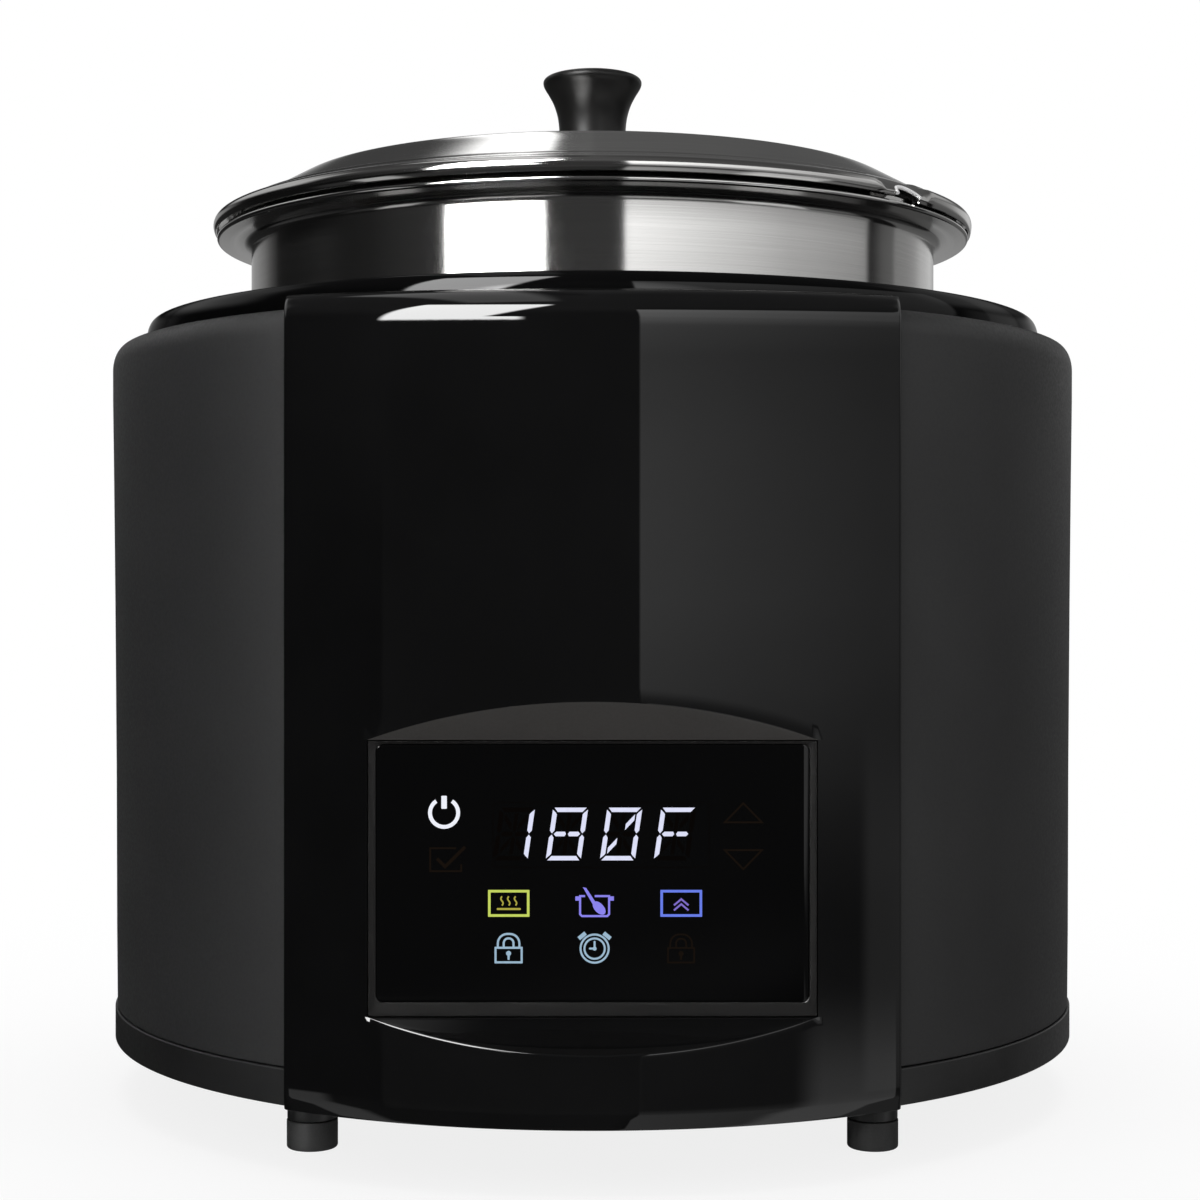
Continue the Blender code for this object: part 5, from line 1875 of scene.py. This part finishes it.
def studio_lights():
    """Patches of light, placed by direction in degrees.

    azimuth is 0 towards the viewer and behind is 0 straight behind; both grow to the right.
    """
    direction = studio.add("TexCoord").outputs["Generated"]
    x, y, z = studio.add("SeparateXYZ", {0: direction}).outputs
    to_viewer = studio.math("MULTIPLY", y, -1.0)
    azimuth = studio.math("MULTIPLY", studio.math("ARCTAN2", x, to_viewer), DEGREES)
    behind = studio.math("MULTIPLY", studio.math("ARCTAN2", x, y), DEGREES)
    elevation = studio.math("MULTIPLY", studio.math("ARCSINE", z), DEGREES)

    # the left panel's inner edge leans; its stops are azimuth + 40 by elevation
    lean = curve(elevation, (-90, 24.5), (10.4, 24.5), (11.4, 16.5), (47.5, 28.8), (90, 28.8))
    past_edge = studio.math("SUBTRACT", azimuth, studio.math("SUBTRACT", lean, 40.0))
    left_panel = light(step(azimuth, -48.2, -46.2), step(past_edge, -1.4, 1.4, falling=True))

    return [
        # bright panel front left, from just above the housing to high up
        light(left_panel, band(elevation, (7.75, 50.0), soft=(0.12, 1.5)), level=20.0),
        # its continuation over the top
        light(
            band(x, (-0.35, -0.10), soft=(0.03, 0.03)),
            light(step(z, 0.80, 0.86), step(y, -0.5, -0.4)),
            level=0.9,
        ),
        # strip high behind
        light(
            band(behind, (-10.5, -3.6), soft=(1.2, 0.35)),
            band(elevation, (35.0, 54.0), soft=(2.0, 2.0)),
            level=1.9,
        ),
        # wide panel front right: sharp inner edge, fading to the right
        light(
            band(azimuth, (10.2, 101.0), soft=(0.35, 1.2)),
            curve(azimuth, (-180, 1.0), (10, 1.0), (39, 0.68), (66, 0.42), (101, 0.26), (180, 0.25)),
            curve(
                elevation,
                (-90, 0.3), (-60.0, 0.5), (-24.0, 0.5), (-15.0, 0.05), (-8.0, 0.06),
                (-5.5, 0.20), (-4.0, 0.38), (-2.1, 0.57), (0.0, 0.69), (4.0, 0.71), (6.8, 0.58),
                (8.0, 1.7), (14.0, 1.9), (20.0, 1.9), (27.0, 2.2), (31.0, 2.2), (33.0, 0.0),
                (90, 0.0),
            ),
        ),
        # grey surface at the back right
        light(
            band(azimuth, (117.0, 185.0), soft=(1.2, 1.0)),
            curve(elevation, (-90, 0.2), (-20, 0.25), (10, 0.42), (35, 0.1), (60, 0.0), (90, 0.0)),
            level=0.36,
        ),
        # grey surface at the back left
        light(
            curve(
                azimuth,
                (-180, 0.34), (-168, 0.14), (-158, 0.02), (-130, 0.01), (-118, 0.0), (180, 0.0),
            ),
            curve(elevation, (-90, 0.3), (-20, 0.5), (10, 1.0), (20, 0.4), (60, 0.0), (90, 0.0)),
            level=0.95,
        ),
        # pale horizon behind
        light(
            band(behind, (-13.0, 13.0), soft=(6.0, 6.0)),
            band(elevation, (-12.0, 14.0), soft=(4.0, 2.0)),
            level=0.22,
        ),
        # soft bounce high at the back left and back right corners
        light(
            band(behind, (-84.0, -34.0), soft=(8.0, 6.0)),
            band(elevation, (17.0, 44.0), soft=(5.0, 8.0)),
            level=0.60,
        ),
        light(
            band(behind, (35.0, 84.0), soft=(6.0, 8.0)),
            band(elevation, (17.0, 44.0), soft=(5.0, 8.0)),
            level=0.40,
        ),
        # the room's paler sides, just above the housing
        light(
            curve(
                behind,
                (-180, 0.0), (-54, 0.0), (-47, 0.075), (-40, 0.19), (-31, 0.27), (-20, 0.32),
                (-10, 0.2), (0, 0.1), (14, 0.2), (26, 0.5), (40, 0.40), (47, 0.23), (53, 0.17),
                (60, 0.14), (65, 0.15), (70, 0.13), (76, 0.03), (79, 0.0), (180, 0.0),
            ),
            band(elevation, (5.0, 13.0), soft=(1.5, 2.0)),
        ),
        # pale table to the right and left of the viewer
        light(
            band(azimuth, (48.0, 74.0), soft=(4.0, 1.0)),
            step(elevation, -13.0, -9.5, falling=True),
            level=0.55,
        ),
        light(
            band(azimuth, (-75.0, -61.0), soft=(1.0, 2.5)),
            step(elevation, -14.5, -12.5, falling=True),
            level=0.5,
        ),
        # overhead grey
        light(
            step(elevation, 16.0, 46.0),
            curve(
                behind,
                (-180, 1.0), (-60, 0.6), (-14, 0.35), (0, 1.0), (10, 0.9), (40, 0.6), (180, 1.0),
            ),
            level=0.11,
        ),
        # low patch at the far right
        light(
            band(azimuth, (62.0, 101.0), soft=(2.0, 1.2)),
            band(elevation, (-12.5, -4.5), soft=(1.2, 2.0)),
            level=0.20,
        ),
        # bright line of the backdrop above the horizon
        light(
            band(behind, (-9.0, 9.0), soft=(4.0, 4.0)),
            band(elevation, (13.5, 21.0), soft=(1.0, 1.5)),
            level=0.7,
        ),
        # soft spill round the left panel
        light(
            curve(
                azimuth,
                (-180, 0.0), (-105, 0.0), (-75, 0.012), (-56, 0.032), (-47, 0.055), (-46, 0.0),
                (180, 0.0),
            ),
            band(elevation, (2.0, 40.0), soft=(4.0, 8.0)),
        ),
        # dim room behind the viewer
        light(
            band(azimuth, (-46.6, 10.5), soft=(0.8, 0.4)),
            band(elevation, (-20.0, 40.0), soft=(4.0, 8.0)),
            level=0.042,
        ),
        # table front left
        light(
            band(azimuth, (-90.0, 8.0), soft=(5.0, 4.0)),
            step(elevation, -20.0, -8.0, falling=True),
            level=0.03,
        ),
    ]


def studio_world():
    total = ROOM_LEVEL
    for patch in studio_lights():
        total = studio.math("ADD", patch, total)
    rays = studio.add("LightPath").outputs
    unseen = studio.mix(rays["Is Glossy Ray"], AMBIENT, total)
    background = studio.tree.nodes["Background"]
    studio.feed(background.inputs["Color"], studio.mix(rays["Is Camera Ray"], unseen, BACKDROP))
    background.inputs["Strength"].default_value = 1.0


studio_world()


# ======================================================================
# floor, lights, camera
# ======================================================================
def studio_floor():
    """Flat pale disc that fades into the backdrop colour away from the object."""
    surface = Surface("studio_floor", (0.90, 0.90, 0.90), 0.9)
    cloud = surface.noise(scale=6.0, detail=3.0)
    surface.set(
        Base_Color=surface.mix(cloud, (0.93, 0.93, 0.93), (0.96, 0.96, 0.96)),
        Specular_IOR_Level=0.0,
    )
    glow = surface.add("Emission", {"Color": (*BACKDROP, 1)}).outputs[0]
    length = surface.add("VectorMath", {0: surface.place}, operation="LENGTH")
    fade = surface.remap(
        length.outputs["Value"],
        source=(0.22, 0.62),
        target=(0.84, 1.0),
        interpolation_type="SMOOTHSTEP",
    )
    inputs = {"Fac": fade, 1: surface.shader.outputs[0], 2: glow}
    blend = surface.add("MixShader", inputs).outputs[0]
    surface.feed(surface.tree.nodes["Material Output"].inputs["Surface"], blend)

    bm = bmesh.new()
    bmesh.ops.create_circle(bm, cap_ends=True, segments=96, radius=7.0)
    floor = add_object("studio_floor", bm)
    floor.data.materials.append(surface.material)
    floor.location = (0, 0, -0.0002)
    floor.visible_glossy = False


def area_light(name, width, height, energy, location):
    """Rectangular light pointing down; reflections show the studio instead of it."""
    lamp = bpy.data.lights.new(name, "AREA")
    lamp.shape = "RECTANGLE"
    lamp.size, lamp.size_y = width, height
    lamp.energy = energy
    ob = bpy.data.objects.new(name, lamp)
    scene.collection.objects.link(ob)
    ob.location = location
    ob.visible_camera = False
    ob.visible_glossy = False
    return ob


def softbox(name, azimuth, elevation, width, height, radiance, distance=1.9):
    """Area light aimed at the middle of the object from a direction in degrees."""
    turn, rise = radians(azimuth), radians(elevation)
    direction = Vector((sin(turn) * cos(rise), -cos(turn) * cos(rise), sin(rise)))
    location = Vector((0, 0, 0.2)) + direction * distance
    ob = area_light(name, width, height, radiance * width * height * pi, location)
    ob.rotation_euler = (-direction).to_track_quat("-Z", "Z").to_euler()


def camera():
    lens = bpy.data.cameras.new("camera")
    lens.sensor_width = 36.0
    lens.sensor_fit = "HORIZONTAL"
    lens.lens = 66.45
    lens.clip_start = 0.01
    lens.shift_x = 0.00625
    lens.shift_y = 0.00125
    ob = bpy.data.objects.new("camera", lens)
    scene.collection.objects.link(ob)
    ob.location = (0.0, -0.8555, 0.1809)
    ob.rotation_euler = (pi / 2, 0, 0)
    scene.camera = ob


studio_floor()
softbox("key_left", azimuth=-40, elevation=28, width=0.9, height=1.2, radiance=0.9)
softbox("key_right", azimuth=55, elevation=22, width=1.3, height=1.2, radiance=0.8)
area_light("overhead", width=1.6, height=1.6, energy=26.0, location=(0.0, 0.25, 2.0))
camera()
